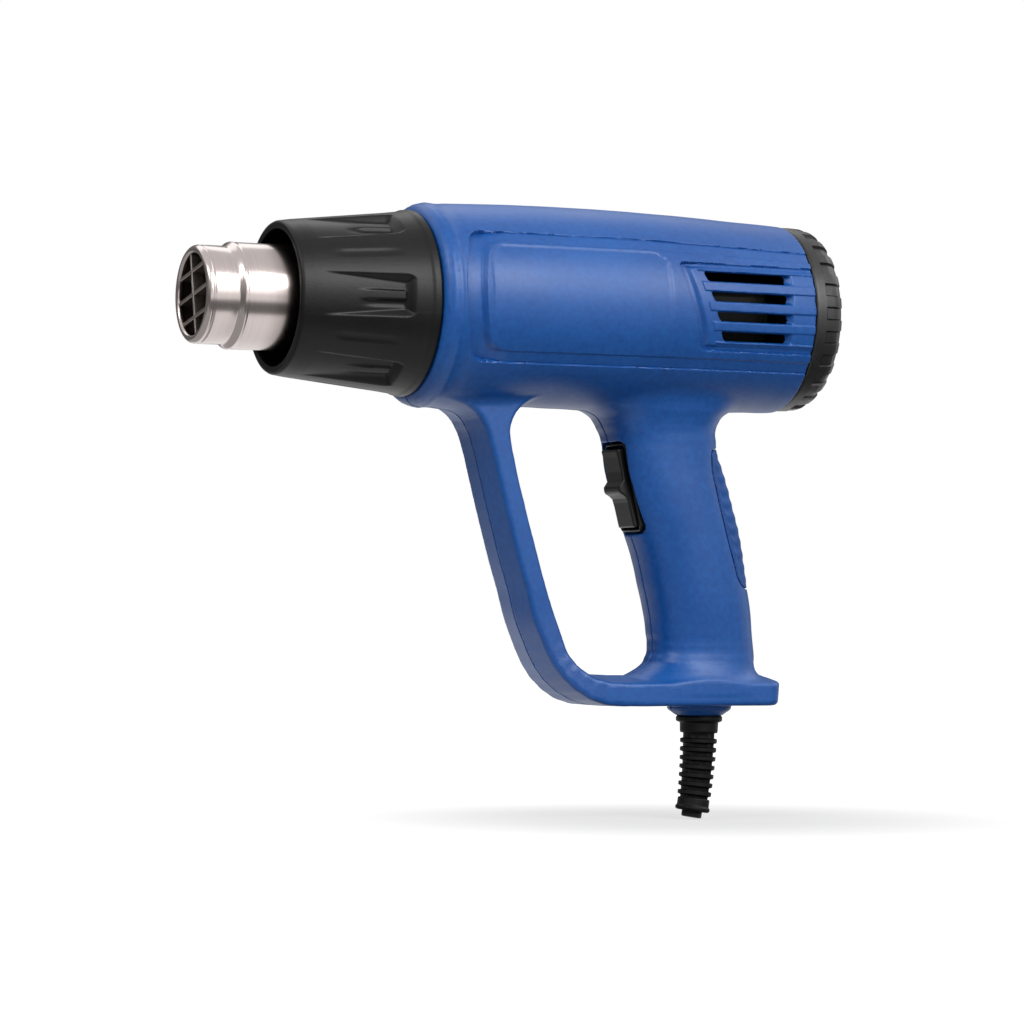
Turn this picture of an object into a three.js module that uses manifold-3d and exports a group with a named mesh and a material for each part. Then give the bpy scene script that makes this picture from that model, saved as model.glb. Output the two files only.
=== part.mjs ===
// Hot air tool with a D-shaped hand guard, millimetres, +Z up.
// The origin is the centre of the rear cap's flat end face, on the barrel axis.
// The barrel runs along X with the nozzle at -X; the housing halves part at Y = 0.
import * as THREE from 'three';
import { mergeVertices } from 'three/addons/utils/BufferGeometryUtils.js';
import Module from 'manifold-3d';

const wasm = await Module();
wasm.setup();

// Fits
const gap = 0.3;            // between neighbouring pieces
const seam = 0.15;          // each housing half stops this far from Y = 0
const wall = 2.6;           // barrel wall
const gripWall = 3.8;       // handle wall, thick enough to carry the grip insert
const guardWall = 2.2;      // wall of the hollow hand guard
const facet = 0.08;         // facets flatter than this are merged

// Barrel, measured from the rear cap's end face
const capLength = 11.2;     // visible length of the rear cap
const barrelLength = 138.8; // visible length of the blue barrel
const barrelR = 35.0;       // largest radius, near the middle
const barrelRearR = 32.3;   // radius at the rear cap
const barrelFrontR = 34.4;  // radius behind the front bevel
const mouthR = 31.2;        // radius at the front edge
const bevelX = 5.2;         // length of the front bevel

// Rear cap
const capR = 32.0;
const capEndR = 29.2;       // flat end face
const capFloor = 2.8;
const capSpigotR = 29.1;
const capSpigotLength = 8.0;
const capSpigotWall = 2.5;
const notchCount = 24;
const notchWide = 4.3;
const notchDeep = 1.3;
const notchLength = 7.2;

// Front guard sleeve
const sleeveLength = 47.2;
const sleeveFrontR = 25.6;
const sleeveRearR = 30.2;
const sleeveRimR = 31.0;
const sleeveRimX = 3.4;
const sleeveMouthR = 22.6;
const sleeveInnerR = 25.4;
const sleeveSpigotR = 28.6;
const sleeveSpigotLength = 11.0;
const webThick = 2.0;
const pocketCount = 6;
const pocketLength = 31.0;
const pocketBack = 9.5;     // from the sleeve's rear edge to the pocket's end wall
const pocketWide = 14.0;
const pocketDeep = 2.2;
const pocketRib = 4.0;

// Nozzle tube and heater
const tubeR = 17.5;
const tubeWall = 0.8;
const tipR = 16.1;
const tipLength = 10.6;     // from the mouth to the step
const stepX = 2.1;
const lipR = 13.35;         // opening inside the rolled lip
const lipX = 1.7;
const tubeReach = 28.8;     // tube standing out of the sleeve
const tubeClear = 15.9;     // from the tube's rear flange to the fan
const flangeR = 23.5;
const flangeThick = 1.5;
const stripThick = 0.6;
const stripDeep = 4.0;
const stripPitch = 7.6;
const stripTurn = 11;
const sleeveMicaWall = 0.8;
const boardThick = 0.8;
const boardHalf = 10.8;
const wireR = 0.55;
const coilTurns = 7;
const ringThick = 3.0;
const ringWall = 3.9;

// Motor and fan
const motorR = 18.0;
const motorLength = 39.0;
const motorX = -27.0;       // rear edge of the can
const motorWall = 1.2;
const motorNoseR = 5.5;
const motorNose = 2.5;
const bellThick = 4.2;
const shaftR = 1.6;
const rotorR = 13.5;
const rotorLength = 28.0;
const magnetThick = 2.3;
const carrierThick = 2.5;
const airHoles = 6;
const fanR = 25.5;
const fanHubR = 6.0;
const fanDeep = 13.0;
const fanBack = 1.5;
const fanGap = 3.4;         // from the carrier to the blades
const bladeCount = 9;
const bladeThick = 1.3;
const boardR = 14.0;
const capacitorDeep = 9.0;
const capacitorWide = 11.0;
const capacitorTall = 16.0;
const capacitorDrop = 19.6; // below the top of the grip insert
const pcbThick = 1.5;

// Handle, which stands on the base
const baseZ = -134.9;       // underside of the base
const gripRise = 21.1;      // from there to the handle's foot
const gripTopZ = -43.6;
const gripFootZ = baseZ + gripRise;
const gripTopX = -55.9;
const gripFootX = -39.6;
const gripDeep = 37.6;      // along X at mid height
const gripWide = 32.2;      // along Y at mid height
const gripSquare = 2.4;     // superellipse exponent
const padThick = 1.6;
const padTopZ = -46.4;
const padFootZ = -94.0;

// Hand guard and base
const guardHalf = 12.8;
const guardThick = 8.2;     // at the parting line
const guardCrown = 2.1;     // the outer face is a shallow roof along the parting line
const guardTopX = -127.2;
const guardTopZ = -43.0;
const guardFootX = -104.6;
const guardRise = 16.5;     // from the underside of the base to the bend
const guardFootZ = baseZ + guardRise;
const baseThick = 8.5;
const baseHalf = 17.2;
const baseCrown = 2.6;
const baseEndX = -15.6;

// Cord entry
const collarR = 10.9;
const collarFootR = 8.3;
const collarTall = 2.8;
const cuffR = 6.4;
const cuffLength = 5.8;     // flange and upper cuff
const bootFlangeR = 8.1;
const bootEndR = 5.2;
const bootEndLength = 4.8;  // lower cuff and end bead
const bootLength = 32.7;
const bootRibs = 7;
const bootBend = 8;         // degrees at the free end
const cordR = 3.5;
const cordStub = 2.2;
const cordReach = 7.8;      // above the handle's foot
const cordTopZ = gripFootZ + cordReach;
const clampLift = 0.8;      // above the handle's foot
const clampZ = gripFootZ + clampLift;
const clampTall = 7.0;
const clampSpan = 7.6;      // clamp screws either side of the cord

// Switch, in its own frame: l down the handle, n out of the handle
const switchX = -69.2;
const switchZ = -60.0;
const switchTilt = 12.5;
const bezelHalfL = 15.4;
const bezelHalfW = 7.8;
const bezelThick = 2.3;
const bodyDeep = 14.0;
const bodyHalfL = 13.4;
const bodyHalfW = 6.6;
const rockerHalfL = 13.7;
const rockerHalfW = 5.2;
const rockerGap = 0.8;
const pivotDeep = 2.5;
const pocketMargin = 1.0;

// Screws
const screwR = 1.7;
const screwHeadR = 3.3;
const screwHeadTall = 2.4;
const bossR = 3.4;
const screwInset = 8.2;     // from the barrel's skin to the screw's axis
const clampScrewR = 1.2;
const clampHeadR = 2.2;

// Vents, heights on the barrel's sides
const ventZ = [10.7, 3.9, -2.8, -9.4];
const ventFrontX = [-53.2, -51.5, -49.8, -47.6];
const ventRearX = -20.6;
const ventTall = 4.0;

// Side panel: a groove, open at the rear, frames a smooth panel on each side of the barrel
const panelInset = 9.3;     // from the barrel's front edge
const panelTopZ = 22.3;
const panelFootZ = -20.8;
const panelGroove = 3.6;
const panelDeep = 0.9;
const panelCorner = 5.0;
const ventMargin = 4.6;     // from the slots' middle lines to the edge of their sunk field
const ventLand = 0.3;       // floor beside each slot

const rad = THREE.MathUtils.degToRad;

// Geometry to solid
function solid(geometry) {
  const bare = new THREE.BufferGeometry();
  bare.setAttribute('position', geometry.getAttribute('position').clone());
  if (geometry.index) bare.setIndex(geometry.index.clone());
  const welded = mergeVertices(bare, 1e-4);
  const source = welded.index.array;
  const tris = [];
  for (let i = 0; i < source.length; i += 3) {
    const [a, b, c] = [source[i], source[i + 1], source[i + 2]];
    if (a !== b && b !== c && c !== a) tris.push(a, b, c);
  }
  const verts = Float32Array.from(welded.getAttribute('position').array);
  let volume = 0;
  const p = (i) => new THREE.Vector3(verts[3 * i], verts[3 * i + 1], verts[3 * i + 2]);
  for (let i = 0; i < tris.length; i += 3) {
    volume += p(tris[i]).dot(p(tris[i + 1]).cross(p(tris[i + 2])));
  }
  if (volume < 0) {
    for (let i = 0; i < tris.length; i += 3) [tris[i], tris[i + 1]] = [tris[i + 1], tris[i]];
  }
  const mesh = new wasm.Mesh({ numProp: 3, vertProperties: verts, triVerts: Uint32Array.from(tris) });
  return new wasm.Manifold(mesh);
}

// A closed profile of [position on the axis, radius] turned about an axis
function turned(profile, segments, axis = 'x', centre = [0, 0, 0]) {
  const points = profile.map(([t, r]) => new THREE.Vector2(Math.max(r, 0), t));
  points.push(points[0].clone());
  const geometry = new THREE.LatheGeometry(points, segments);
  if (axis === 'x') geometry.rotateZ(-Math.PI / 2);
  if (axis === 'z') geometry.rotateX(Math.PI / 2);
  geometry.translate(...centre);
  return solid(geometry);
}

// A skin through rings of points, closed by a flat cap at each end
function loft(rings) {
  const n = rings[0].length;
  const points = rings.flat();
  const index = [];
  for (let i = 0; i + 1 < rings.length; i++) {
    for (let j = 0; j < n; j++) {
      const k = (j + 1) % n;
      index.push(i * n + j, i * n + k, (i + 1) * n + k, i * n + j, (i + 1) * n + k, (i + 1) * n + j);
    }
  }
  const ends = [[0, true], [rings.length - 1, false]];
  for (const [row, flip] of ends) {
    const middle = new THREE.Vector3();
    rings[row].forEach((q) => middle.add(q));
    points.push(middle.divideScalar(n));
    for (let j = 0; j < n; j++) {
      const k = (j + 1) % n;
      const tri = [row * n + j, row * n + k, points.length - 1];
      index.push(...(flip ? tri.reverse() : tri));
    }
  }
  const geometry = new THREE.BufferGeometry().setFromPoints(points);
  geometry.setIndex(index);
  return solid(geometry);
}

function box(x0, x1, y0, y1, z0, z1) {
  const geometry = new THREE.BoxGeometry(x1 - x0, y1 - y0, z1 - z0);
  geometry.translate((x0 + x1) / 2, (y0 + y1) / 2, (z0 + z1) / 2);
  return solid(geometry);
}

// A round bar along Y
function barY(x, z, r, y0, y1, segments = 10) {
  const geometry = new THREE.CylinderGeometry(r, r, y1 - y0, segments);
  geometry.translate(x, (y0 + y1) / 2, z);
  return solid(geometry);
}

// A round bar along X
function barX(y, z, r, x0, x1, segments = 12) {
  const geometry = new THREE.CylinderGeometry(r, r, x1 - x0, segments);
  geometry.rotateZ(-Math.PI / 2);
  geometry.translate((x0 + x1) / 2, y, z);
  return solid(geometry);
}

// An outline in X and Z pushed out along Y
function slab(outline, y0, y1) {
  const shape = new THREE.Shape(outline.map(([x, z]) => new THREE.Vector2(x, z)));
  const geometry = new THREE.ExtrudeGeometry(shape, { depth: y1 - y0, bevelEnabled: false });
  geometry.rotateX(Math.PI / 2);
  geometry.translate(0, y1, 0);
  return solid(geometry);
}

// A round wire along a smooth path
function wire(points, r, steps, sides = 6) {
  const curve = new THREE.CatmullRomCurve3(points.map((q) => new THREE.Vector3(...q)));
  const frames = curve.computeFrenetFrames(steps, false);
  const rings = [];
  for (let i = 0; i <= steps; i++) {
    const centre = curve.getPointAt(i / steps);
    rings.push(Array.from({ length: sides }, (_, j) => {
      const t = (2 * Math.PI * j) / sides;
      return centre.clone()
        .addScaledVector(frames.normals[i], r * Math.cos(t))
        .addScaledVector(frames.binormals[i], r * Math.sin(t));
    }));
  }
  return loft(rings);
}

function spinX(shape, degrees) {
  return shape.rotate([degrees, 0, 0]);
}

const mix = THREE.MathUtils.lerp;

// Barrel outline
const rearX = -capLength - gap;
const frontX = rearX - barrelLength;
const barrelShape = [
  [0, barrelRearR], [0.13, mix(barrelRearR, barrelR, 0.4)], [0.26, mix(barrelRearR, barrelR, 0.7)],
  [0.42, mix(barrelRearR, barrelR, 0.92)], [0.6, barrelR], [0.75, mix(barrelFrontR, barrelR, 0.8)],
  [0.88, mix(barrelFrontR, barrelR, 0.35)],
];
const barrelLine = barrelShape.map(([t, r]) => [rearX - t * (barrelLength - bevelX), r]);
barrelLine.push([frontX + bevelX, barrelFrontR]);
barrelLine.push([frontX + 0.32 * bevelX, mix(mouthR, barrelFrontR, 0.6)]);
barrelLine.push([frontX, mouthR]);
const barrelAt = (x) => {
  for (let i = 0; i + 1 < barrelLine.length; i++) {
    const [[xa, ra], [xb, rb]] = [barrelLine[i], barrelLine[i + 1]];
    if (x <= xa && x >= xb) return mix(ra, rb, (xa - x) / (xa - xb));
  }
  return barrelR;
};
const barrel = turned([[rearX, 0], ...barrelLine, [frontX, 0]], 32);

// Barrel bore, with seats for the cap and the sleeve
const capSeatR = capSpigotR + gap;
const sleeveSeatR = sleeveSpigotR + gap;
const capSeatX = -capLength - capSpigotLength - gap;
const sleeveSeatX = frontX + sleeveSpigotLength + gap;
const boreLine = [[rearX + 1, 0], [rearX + 1, capSeatR], [capSeatX, capSeatR]];
for (const t of [0.13, 0.3, 0.5, 0.7, 0.85]) {
  const x = mix(capSeatX, sleeveSeatX, t);
  boreLine.push([x, barrelAt(x) - wall]);
}
boreLine.push([sleeveSeatX + 3, barrelAt(sleeveSeatX + 3) - wall - 0.6], [sleeveSeatX, sleeveSeatR]);
boreLine.push([frontX - 1, sleeveSeatR], [frontX - 1, 0]);
const bore = turned(boreLine, 24);
const boreAt = (x) => barrelAt(x) - wall;

// Handle sections: share of the grip's height, widening of depth and of width, bow of the centre line
const gripRows = [
  [-0.34, 1.62, 1.24, 0], [-0.22, 1.5, 1.2, 0], [-0.165, 1.4, 1.17, 0], [-0.14, 1.32, 1.15, 0],
  [-0.118, 1.225, 1.12, 0], [-0.09, 1.145, 1.085, 0], [-0.058, 1.08, 1.055, 0], [0, 1.035, 1.03, 0],
  [0.06, 1.035, 1.02, -0.5], [0.26, 1.03, 1.02, -0.5], [0.47, 1.015, 1.01, 1.4], [0.59, 0.995, 1.0, 2.0],
  [0.7, 0.975, 0.985, 1.8], [0.82, 0.96, 0.97, 1.7], [0.94, 0.95, 0.95, 0.7], [1, 0.955, 0.95, 0],
  [1.06, 0.995, 0.97, -1.3], [1.1, 1.07, 1.0, -3.0], [1.13, 1.18, 1.04, -4.6], [1.155, 1.32, 1.06, -5.8],
  [1.2, 1.34, 1.06, -6.5],
];
const gripRow = (row, inset, grow = 0) => {
  const [t, ka, kb, bow] = row;
  const z = mix(gripTopZ, gripFootZ, t);
  const xc = mix(gripTopX, gripFootX, THREE.MathUtils.clamp(t, -0.06, 1)) + bow;
  const a = (gripDeep / 2) * ka - inset + grow;
  const b = (gripWide / 2) * kb - inset + grow;
  return { z, xc, a, b };
};
const ringAt = ({ z, xc, a, b }, count) => Array.from({ length: count }, (_, i) => {
  const t = (2 * Math.PI * (i + 0.5)) / count;
  const [c, s] = [Math.cos(t), Math.sin(t)];
  const e = 2 / gripSquare;
  return new THREE.Vector3(
    xc + a * Math.sign(c) * Math.abs(c) ** e, b * Math.sign(s) * Math.abs(s) ** e, z);
});
const gripLoft = (inset, from, to, count = 16, grow = 0) => loft(
  gripRows.slice(from, to).map((row) => ringAt(gripRow(row, inset, grow), count)));
const grip = gripLoft(0, 0, gripRows.length);
const gripCore = loft(gripRows.slice(0, 17).filter((_, i) => i % 2 === 0)
  .map((row) => ringAt(gripRow(row, gripWall), 12)));
const gripAt = (t) => {
  const i = Math.max(0, Math.min(gripRows.length - 2, gripRows.findIndex((row) => row[0] > t) - 1));
  const [p, q] = [gripRows[i], gripRows[i + 1]];
  const k = (t - p[0]) / (q[0] - p[0]);
  return gripRow(p.map((value, j) => mix(value, q[j], k)), 0);
};
const gripAtZ = (z) => gripAt((z - gripTopZ) / (gripFootZ - gripTopZ));

// Hand guard and base as one bent bar: outer apex, inner edge, half width, crown outside, crown inside
const guardIn = guardThick + 0.3;
const along = (t, bow) => {
  const z = mix(guardTopZ, guardFootZ, t);
  const x = mix(guardTopX, guardFootX, t) + bow;
  return [[x, z], [x + guardIn, z - 0.15]];
};
const baseTop = baseZ + baseThick;
const guardRows = [
  [[[guardTopX - 16, guardTopZ + 15], [guardTopX + 27, guardTopZ + 19]], guardHalf, guardCrown, 0.5],
  [[[guardTopX - 12, guardTopZ + 10.2], [guardTopX + 19, guardTopZ + 14.6]], guardHalf, guardCrown, 0.5],
  [[[guardTopX - 6.8, guardTopZ + 7.8], [guardTopX + 14, guardTopZ + 10.9]], guardHalf, guardCrown, 0.5],
  [[[guardTopX - 2.4, guardTopZ + 4.3], [guardTopX + 10.8, guardTopZ + 7.2]], guardHalf, guardCrown, 0.5],
  [along(0, 0), guardHalf, guardCrown, 0.5],
  [along(0.19, -0.7), guardHalf, guardCrown, 0.5],
  [along(0.44, -1.2), guardHalf, guardCrown, 0.5],
  [along(0.69, -1.1), guardHalf, guardCrown, 0.6],
  [along(0.89, -0.7), guardHalf + 0.2, guardCrown, 0.8],
  [along(1, 0), guardHalf + 0.6, guardCrown, 1.0],
  [[[guardFootX + 2.6, baseZ + 11.8], [guardFootX + 12.6, baseTop + 4.3]], guardHalf + 1.2, 1.9, 1.3],
  [[[guardFootX + 6.7, baseZ + 7.0], [guardFootX + 16.2, baseTop + 1.9]], guardHalf + 1.9, 1.5, 1.7],
  [[[guardFootX + 11.6, baseZ + 3.6], [guardFootX + 20.2, baseTop + 0.6]], guardHalf + 2.5, 0.9, 2.1],
  [[[guardFootX + 18, baseZ + 1.1], [guardFootX + 24.6, baseTop + 0.1]], guardHalf + 3.1, 0.4, 2.4],
  [[[guardFootX + 25.6, baseZ], [guardFootX + 28.6, baseTop]], baseHalf - 0.8, 0.2, baseCrown],
  [[[guardFootX + 44, baseZ], [guardFootX + 44, baseTop]], baseHalf, 0.2, baseCrown],
  [[[baseEndX - 5.5, baseZ], [baseEndX - 5.5, baseTop]], baseHalf, 0.2, baseCrown],
  [[[baseEndX - 1.9, baseZ + 0.3], [baseEndX - 1.9, baseTop - 0.1]], baseHalf - 1.9, 0.2, baseCrown - 0.6],
  [[[baseEndX, baseZ + 2.4], [baseEndX, baseTop - 0.8]], baseHalf - 5.5, 0.2, baseCrown - 1.2],
];
function guardRing([[o, i], half, crownOut, crownIn], inset) {
  const out = new THREE.Vector2(...o);
  const n = new THREE.Vector2(...i).sub(out);
  const deep = n.length();
  n.normalize();
  const at = (d, y) => new THREE.Vector3(out.x + n.x * d, y, out.y + n.y * d);
  const w = half - inset;
  const low = inset;
  const high = deep - inset;
  return [
    at(low, 0), at(low + crownOut * 0.9, -w + 1), at(low + crownOut + 0.9, -w),
    at(high - 0.8, -w), at(high, -w + 0.8), at(high + crownIn, 0),
    at(high, w - 0.8), at(high - 0.8, w), at(low + crownOut + 0.9, w), at(low + crownOut * 0.9, w - 1),
  ];
}
const guard = loft(guardRows.map((row) => guardRing(row, 0)));
const guardCore = loft(guardRows.slice(4, 14).map((row) => guardRing(row, guardWall)));

// Collar under the base, around the cord entry
const cordX = gripFootX + 0.2;
const collar = turned(
  [[baseZ - collarTall, 0], [baseZ - collarTall, collarFootR], [baseZ - collarTall * 0.4, collarR],
    [baseZ + 1, collarR], [baseZ + 1, 0]], 18, 'z', [cordX, 0, 0]);
const body = barrel.add(grip).add(guard).add(collar);

// Switch frame
const tilt = rad(switchTilt);
const place = (l, n) => [
  switchX + l * Math.sin(tilt) - n * Math.cos(tilt), switchZ - l * Math.cos(tilt) - n * Math.sin(tilt)];
const switchBlock = (l0, l1, n0, n1, half) => slab(
  [place(l0, n0), place(l1, n0), place(l1, n1), place(l0, n1)], -half, half);

// Housing screws: position, head seat on the +Y side, reach to the -Y side
const frontScrewX = frontX + 17.5;
const rearScrewX = rearX - 18.5;
const screwSpots = [
  [frontScrewX, barrelAt(frontScrewX) - screwInset, 15.5, -9],
  [frontScrewX, screwInset - barrelAt(frontScrewX), 15.5, -9],
  [rearScrewX, barrelAt(rearScrewX) - screwInset, 14.5, -9],
  [gripTopX + 11, gripTopZ - 0.4, 8.5, -9],
  [gripFootX + 9.4, gripFootZ + 10.4, 7.5, -8],
  [guardFootX + 12.2, baseZ + 9.2, 7.5, -8],
];

// Clamp screw posts stand in the left half only
const clampX = [cordX - clampSpan, cordX + clampSpan];

// Motor carrier and fan, forward of the motor
const carrierRearX = motorX - motorLength - gap;
const carrierFrontX = carrierRearX - carrierThick;
const carrierR = boreAt(carrierRearX) - gap;
const fanRearX = carrierFrontX - fanGap;
const fanFrontX = fanRearX - fanDeep;

// Tube flange is held between two rings
const tubeRearX = fanFrontX - tubeClear;
const tipX = frontX - gap - sleeveLength - tubeReach;
const ringFrontX = tubeRearX - flangeThick - gap;
const ringRearX = tubeRearX + gap;
const bulkhead = (x0, x1, r) => turned(
  [[x0, r], [x1, r], [x1, boreAt(x1) + 1], [x0, boreAt(x0) + 1]], 24);

let shell = body.subtract(bore).subtract(gripCore).subtract(guardCore);
shell = shell.add(bulkhead(ringFrontX - 1.9, ringFrontX, tubeR + 0.4));
shell = shell.add(bulkhead(ringRearX, ringRearX + 1.9, tubeR + 1.6));
for (const [x, z] of screwSpots) {
  shell = shell.add(barY(x, z, bossR, -barrelR, barrelR).intersect(body));
}

// Vents on both sides
for (let i = 0; i < ventZ.length; i++) {
  const z = ventZ[i];
  const lean = 0.45 * ventTall / 2;
  const outline = [
    [ventFrontX[i] - lean, z + ventTall / 2], [ventRearX, z + ventTall / 2],
    [ventRearX, z - ventTall / 2], [ventFrontX[i] + lean, z - ventTall / 2],
  ];
  for (const side of [-1, 1]) {
    const [y0, y1] = side < 0 ? [-barrelR - 2, -18] : [18, barrelR + 2];
    shell = shell.subtract(slab(outline, y0, y1));
  }
}

// Side panel grooves and the sunk field around the vents, at an even depth below the barrel's skin
const barrelGrown = (grow, past) => turned([
  [rearX + past, 0], [rearX + past, barrelRearR + grow], ...barrelLine.map(([x, r]) => [x, r + grow]),
  [frontX, 0]], 32);
const skin = barrelGrown(1, 2).subtract(barrelGrown(-panelDeep, 3));
const roundedOutline = (x0, x1, z0, z1, r) => [[x1, z1, 0], [x0, z1, 1], [x0, z0, 2], [x1, z0, 3]]
  .flatMap(([x, z, quarter]) => [0, 0.5, 1].map((t) => {
    const turn = (Math.PI / 2) * (quarter + t);
    const [sx, sz] = [x === x1 ? -1 : 1, z === z1 ? -1 : 1];
    return [x + sx * r + r * Math.cos(turn), z + sz * r + r * Math.sin(turn)];
  }));
const panelFrame = (grow) => roundedOutline(
  frontX + panelInset - grow, rearX + 2 * panelCorner, panelFootZ - grow, panelTopZ + grow,
  panelCorner + grow);
const ventField = [
  [ventFrontX[0] - ventMargin - 1.6, ventZ[0] + ventMargin],
  [rearX + 3, ventZ[0] + ventMargin],
  [rearX + 3, ventZ[3] - ventMargin],
  [ventFrontX[3] - ventMargin, ventZ[3] - ventMargin],
];
for (const [y0, y1] of [[-barrelR - 2, -18], [18, barrelR + 2]]) {
  const groove = slab(panelFrame(0), y0, y1).subtract(slab(panelFrame(-panelGroove), y0 - 1, y1 + 1));
  let field = slab(ventField, y0, y1);
  for (let i = 0; i + 1 < ventZ.length; i++) {
    const [top, foot] = [ventZ[i] - ventTall / 2 - ventLand, ventZ[i + 1] + ventTall / 2 + ventLand];
    field = field.subtract(box(ventFrontX[i] - ventMargin / 2, rearX + 4, y0 - 1, y1 + 1, foot, top));
  }
  shell = shell.subtract(groove.add(field).intersect(skin));
}

// Switch pocket with a ledge, and the hole behind it
shell = shell.subtract(switchBlock(
  -bezelHalfL - pocketMargin, bezelHalfL + pocketMargin, -bezelThick - gap, 12, bezelHalfW + pocketMargin));
shell = shell.subtract(switchBlock(-bodyHalfL - gap, bodyHalfL + gap, -bodyDeep, 0, bodyHalfW + gap));

// Grip insert and its recess
const padSide = [
  [0, -14.3], [0.165, -14.3], [0.415, -11.6], [0.665, -8.5], [0.92, -4.6], [1, -1.9],
];
const padEdge = (grow) => {
  const front = padSide.map(([t, dx]) => [
    gripTopX + 28.5 + dx - grow, mix(padTopZ + grow, padFootZ - grow, t)]);
  return [...front, [gripFootX + gripDeep, padFootZ - grow], [gripFootX + gripDeep, padTopZ + grow]];
};
const gripOver = gripLoft(0, 4, 17, 16, 2);
const padOuter = gripLoft(0, 4, 17, 16, 0);
const padInner = gripLoft(padThick, 4, 17, 16);
const recessInner = gripLoft(padThick + gap, 4, 17, 16);
const gripPad = padOuter.subtract(padInner).intersect(slab(padEdge(0), -gripWide, gripWide));
shell = shell.subtract(
  gripOver.subtract(recessInner).intersect(slab(padEdge(gap), -gripWide, gripWide)));

// Bent boot: positions along its own axis from the underside of the collar
const bootTopZ = baseZ - collarTall - gap;
const bend = rad(bootBend);
const bootPoint = (s) => {
  const k = Math.max(0, s) / bootLength;
  const turn = bend * k;
  return { x: cordX - Math.max(0, s) * Math.sin(turn / 2), z: bootTopZ - s * Math.cos(turn / 2), turn };
};
const bootRing = (s, r, count) => {
  const { x, z, turn } = bootPoint(s);
  return Array.from({ length: count }, (_, j) => {
    const t = (2 * Math.PI * j) / count;
    return new THREE.Vector3(
      x + r * Math.cos(t) * Math.cos(turn), r * Math.sin(t), z - r * Math.cos(t) * Math.sin(turn));
  });
};
const neckTop = -(baseZ + 6.5 - bootTopZ);
const neckR = cuffR;
const keyR = cuffR + 2.2;
const keyTop = neckTop;
const keyFoot = neckTop + 2.4;
shell = shell.subtract(turned(
  [[bootTopZ - 2, 0], [bootTopZ - 2, neckR + gap], [bootTopZ - keyFoot - gap, neckR + gap],
    [bootTopZ - keyFoot - gap, keyR + gap], [bootTopZ - keyTop + gap, keyR + gap],
    [bootTopZ - keyTop + gap, cordR + 1], [gripFootZ, cordR + 1], [gripFootZ, 0]],
  12, 'z', [cordX, 0, 0]));

// Split, then the screw holes
let leftHalf = shell.trimByPlane([0, -1, 0], seam);
let rightHalf = shell.trimByPlane([0, 1, 0], seam);
for (const x of clampX) {
  leftHalf = leftHalf.add(barY(x, clampZ, 2.6, -gripWide / 2, -seam).intersect(grip));
  leftHalf = leftHalf.subtract(barY(x, clampZ, clampScrewR + gap, -9.2, 1, 10));
}
for (const [x, z, seat, reach] of screwSpots) {
  leftHalf = leftHalf.subtract(barY(x, z, screwR + gap, reach - 1, 1, 8));
  rightHalf = rightHalf.subtract(barY(x, z, screwR + gap, -1, barrelR, 8));
  rightHalf = rightHalf.subtract(barY(x, z, screwHeadR + gap, seat, barrelR, 10));
}
const screws = screwSpots.map(([x, z, seat, reach]) => barY(
  x, z, screwHeadR, seat + gap, seat + gap + screwHeadTall, 10)
  .add(barY(x, z, screwR, reach, seat + gap + 0.5, 8)));

// Cord, clamped above the boot
const cordRings = [];
for (const z of [cordTopZ, clampZ, baseZ]) {
  cordRings.push(Array.from({ length: 9 }, (_, j) => {
    const t = (2 * Math.PI * j) / 9;
    return new THREE.Vector3(cordX + cordR * Math.cos(t), cordR * Math.sin(t), z);
  }));
}
for (const k of [0, 0.25, 0.5, 0.75, 1]) cordRings.push(bootRing(k * (bootLength + cordStub), cordR, 9));
const cordTail = loft(cordRings);

// Boot: neck and key inside the base, flange, cuff, ribs and end flange outside
const bootProfile = [
  [keyTop, keyR], [keyFoot, keyR], [keyFoot + 0.01, neckR], [-0.02, neckR],
  [0, bootFlangeR], [1.5, bootFlangeR], [2.1, cuffR], [cuffLength, cuffR - 0.15],
];
const ribStart = cuffLength + 0.1;
const ribPitch = (bootLength - bootEndLength - ribStart) / bootRibs;
for (let i = 0; i < bootRibs; i++) {
  const s = ribStart + i * ribPitch;
  const crest = mix(cuffR - 0.35, bootEndR, (i + 1) / bootRibs);
  const root = crest - 1.3;
  bootProfile.push([s, root], [s + ribPitch * 0.5, crest], [s + ribPitch * 0.95, crest]);
}
const bootEnd = bootLength - bootEndLength;
bootProfile.push([bootEnd, bootEndR - 1.2], [bootEnd + 0.8, bootEndR]);
bootProfile.push([bootLength - 2.0, bootEndR - 0.1], [bootLength - 1.5, bootEndR + 0.4]);
bootProfile.push([bootLength - 0.4, bootEndR + 0.4], [bootLength, bootEndR - 0.3]);
const bootSolid = loft(bootProfile.map(([s, r]) => bootRing(s, r, 9)));
const bootBore = loft([keyTop - 1, 0, 8, 16, 24, bootLength + 1].map((s) => bootRing(s, cordR + gap, 9)));
const boot = bootSolid.subtract(bootBore);

// Clamp bar across the cord, and its screws
const clampTop = 6.0;
const clampHalf = clampTall / 2;
let clampBar = box(clampX[0] - 3.2, clampX[1] + 3.2, 1.4, clampTop, clampZ - clampHalf, clampZ + clampHalf);
clampBar = clampBar.subtract(turned(
  [[clampZ - clampTall, 0], [clampZ - clampTall, cordR + gap], [clampZ + clampTall, cordR + gap],
    [clampZ + clampTall, 0]], 20, 'z', [cordX, 0, 0]));
for (const x of clampX) {
  clampBar = clampBar.subtract(barY(x, clampZ, clampScrewR + gap, -1, clampTop + 1, 10));
}
const clampScrews = clampX.map((x) => barY(x, clampZ, clampHeadR, clampTop + gap, clampTop + gap + 1.8, 12)
  .add(barY(x, clampZ, clampScrewR, -8.5, clampTop + gap + 0.4, 10)));

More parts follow.
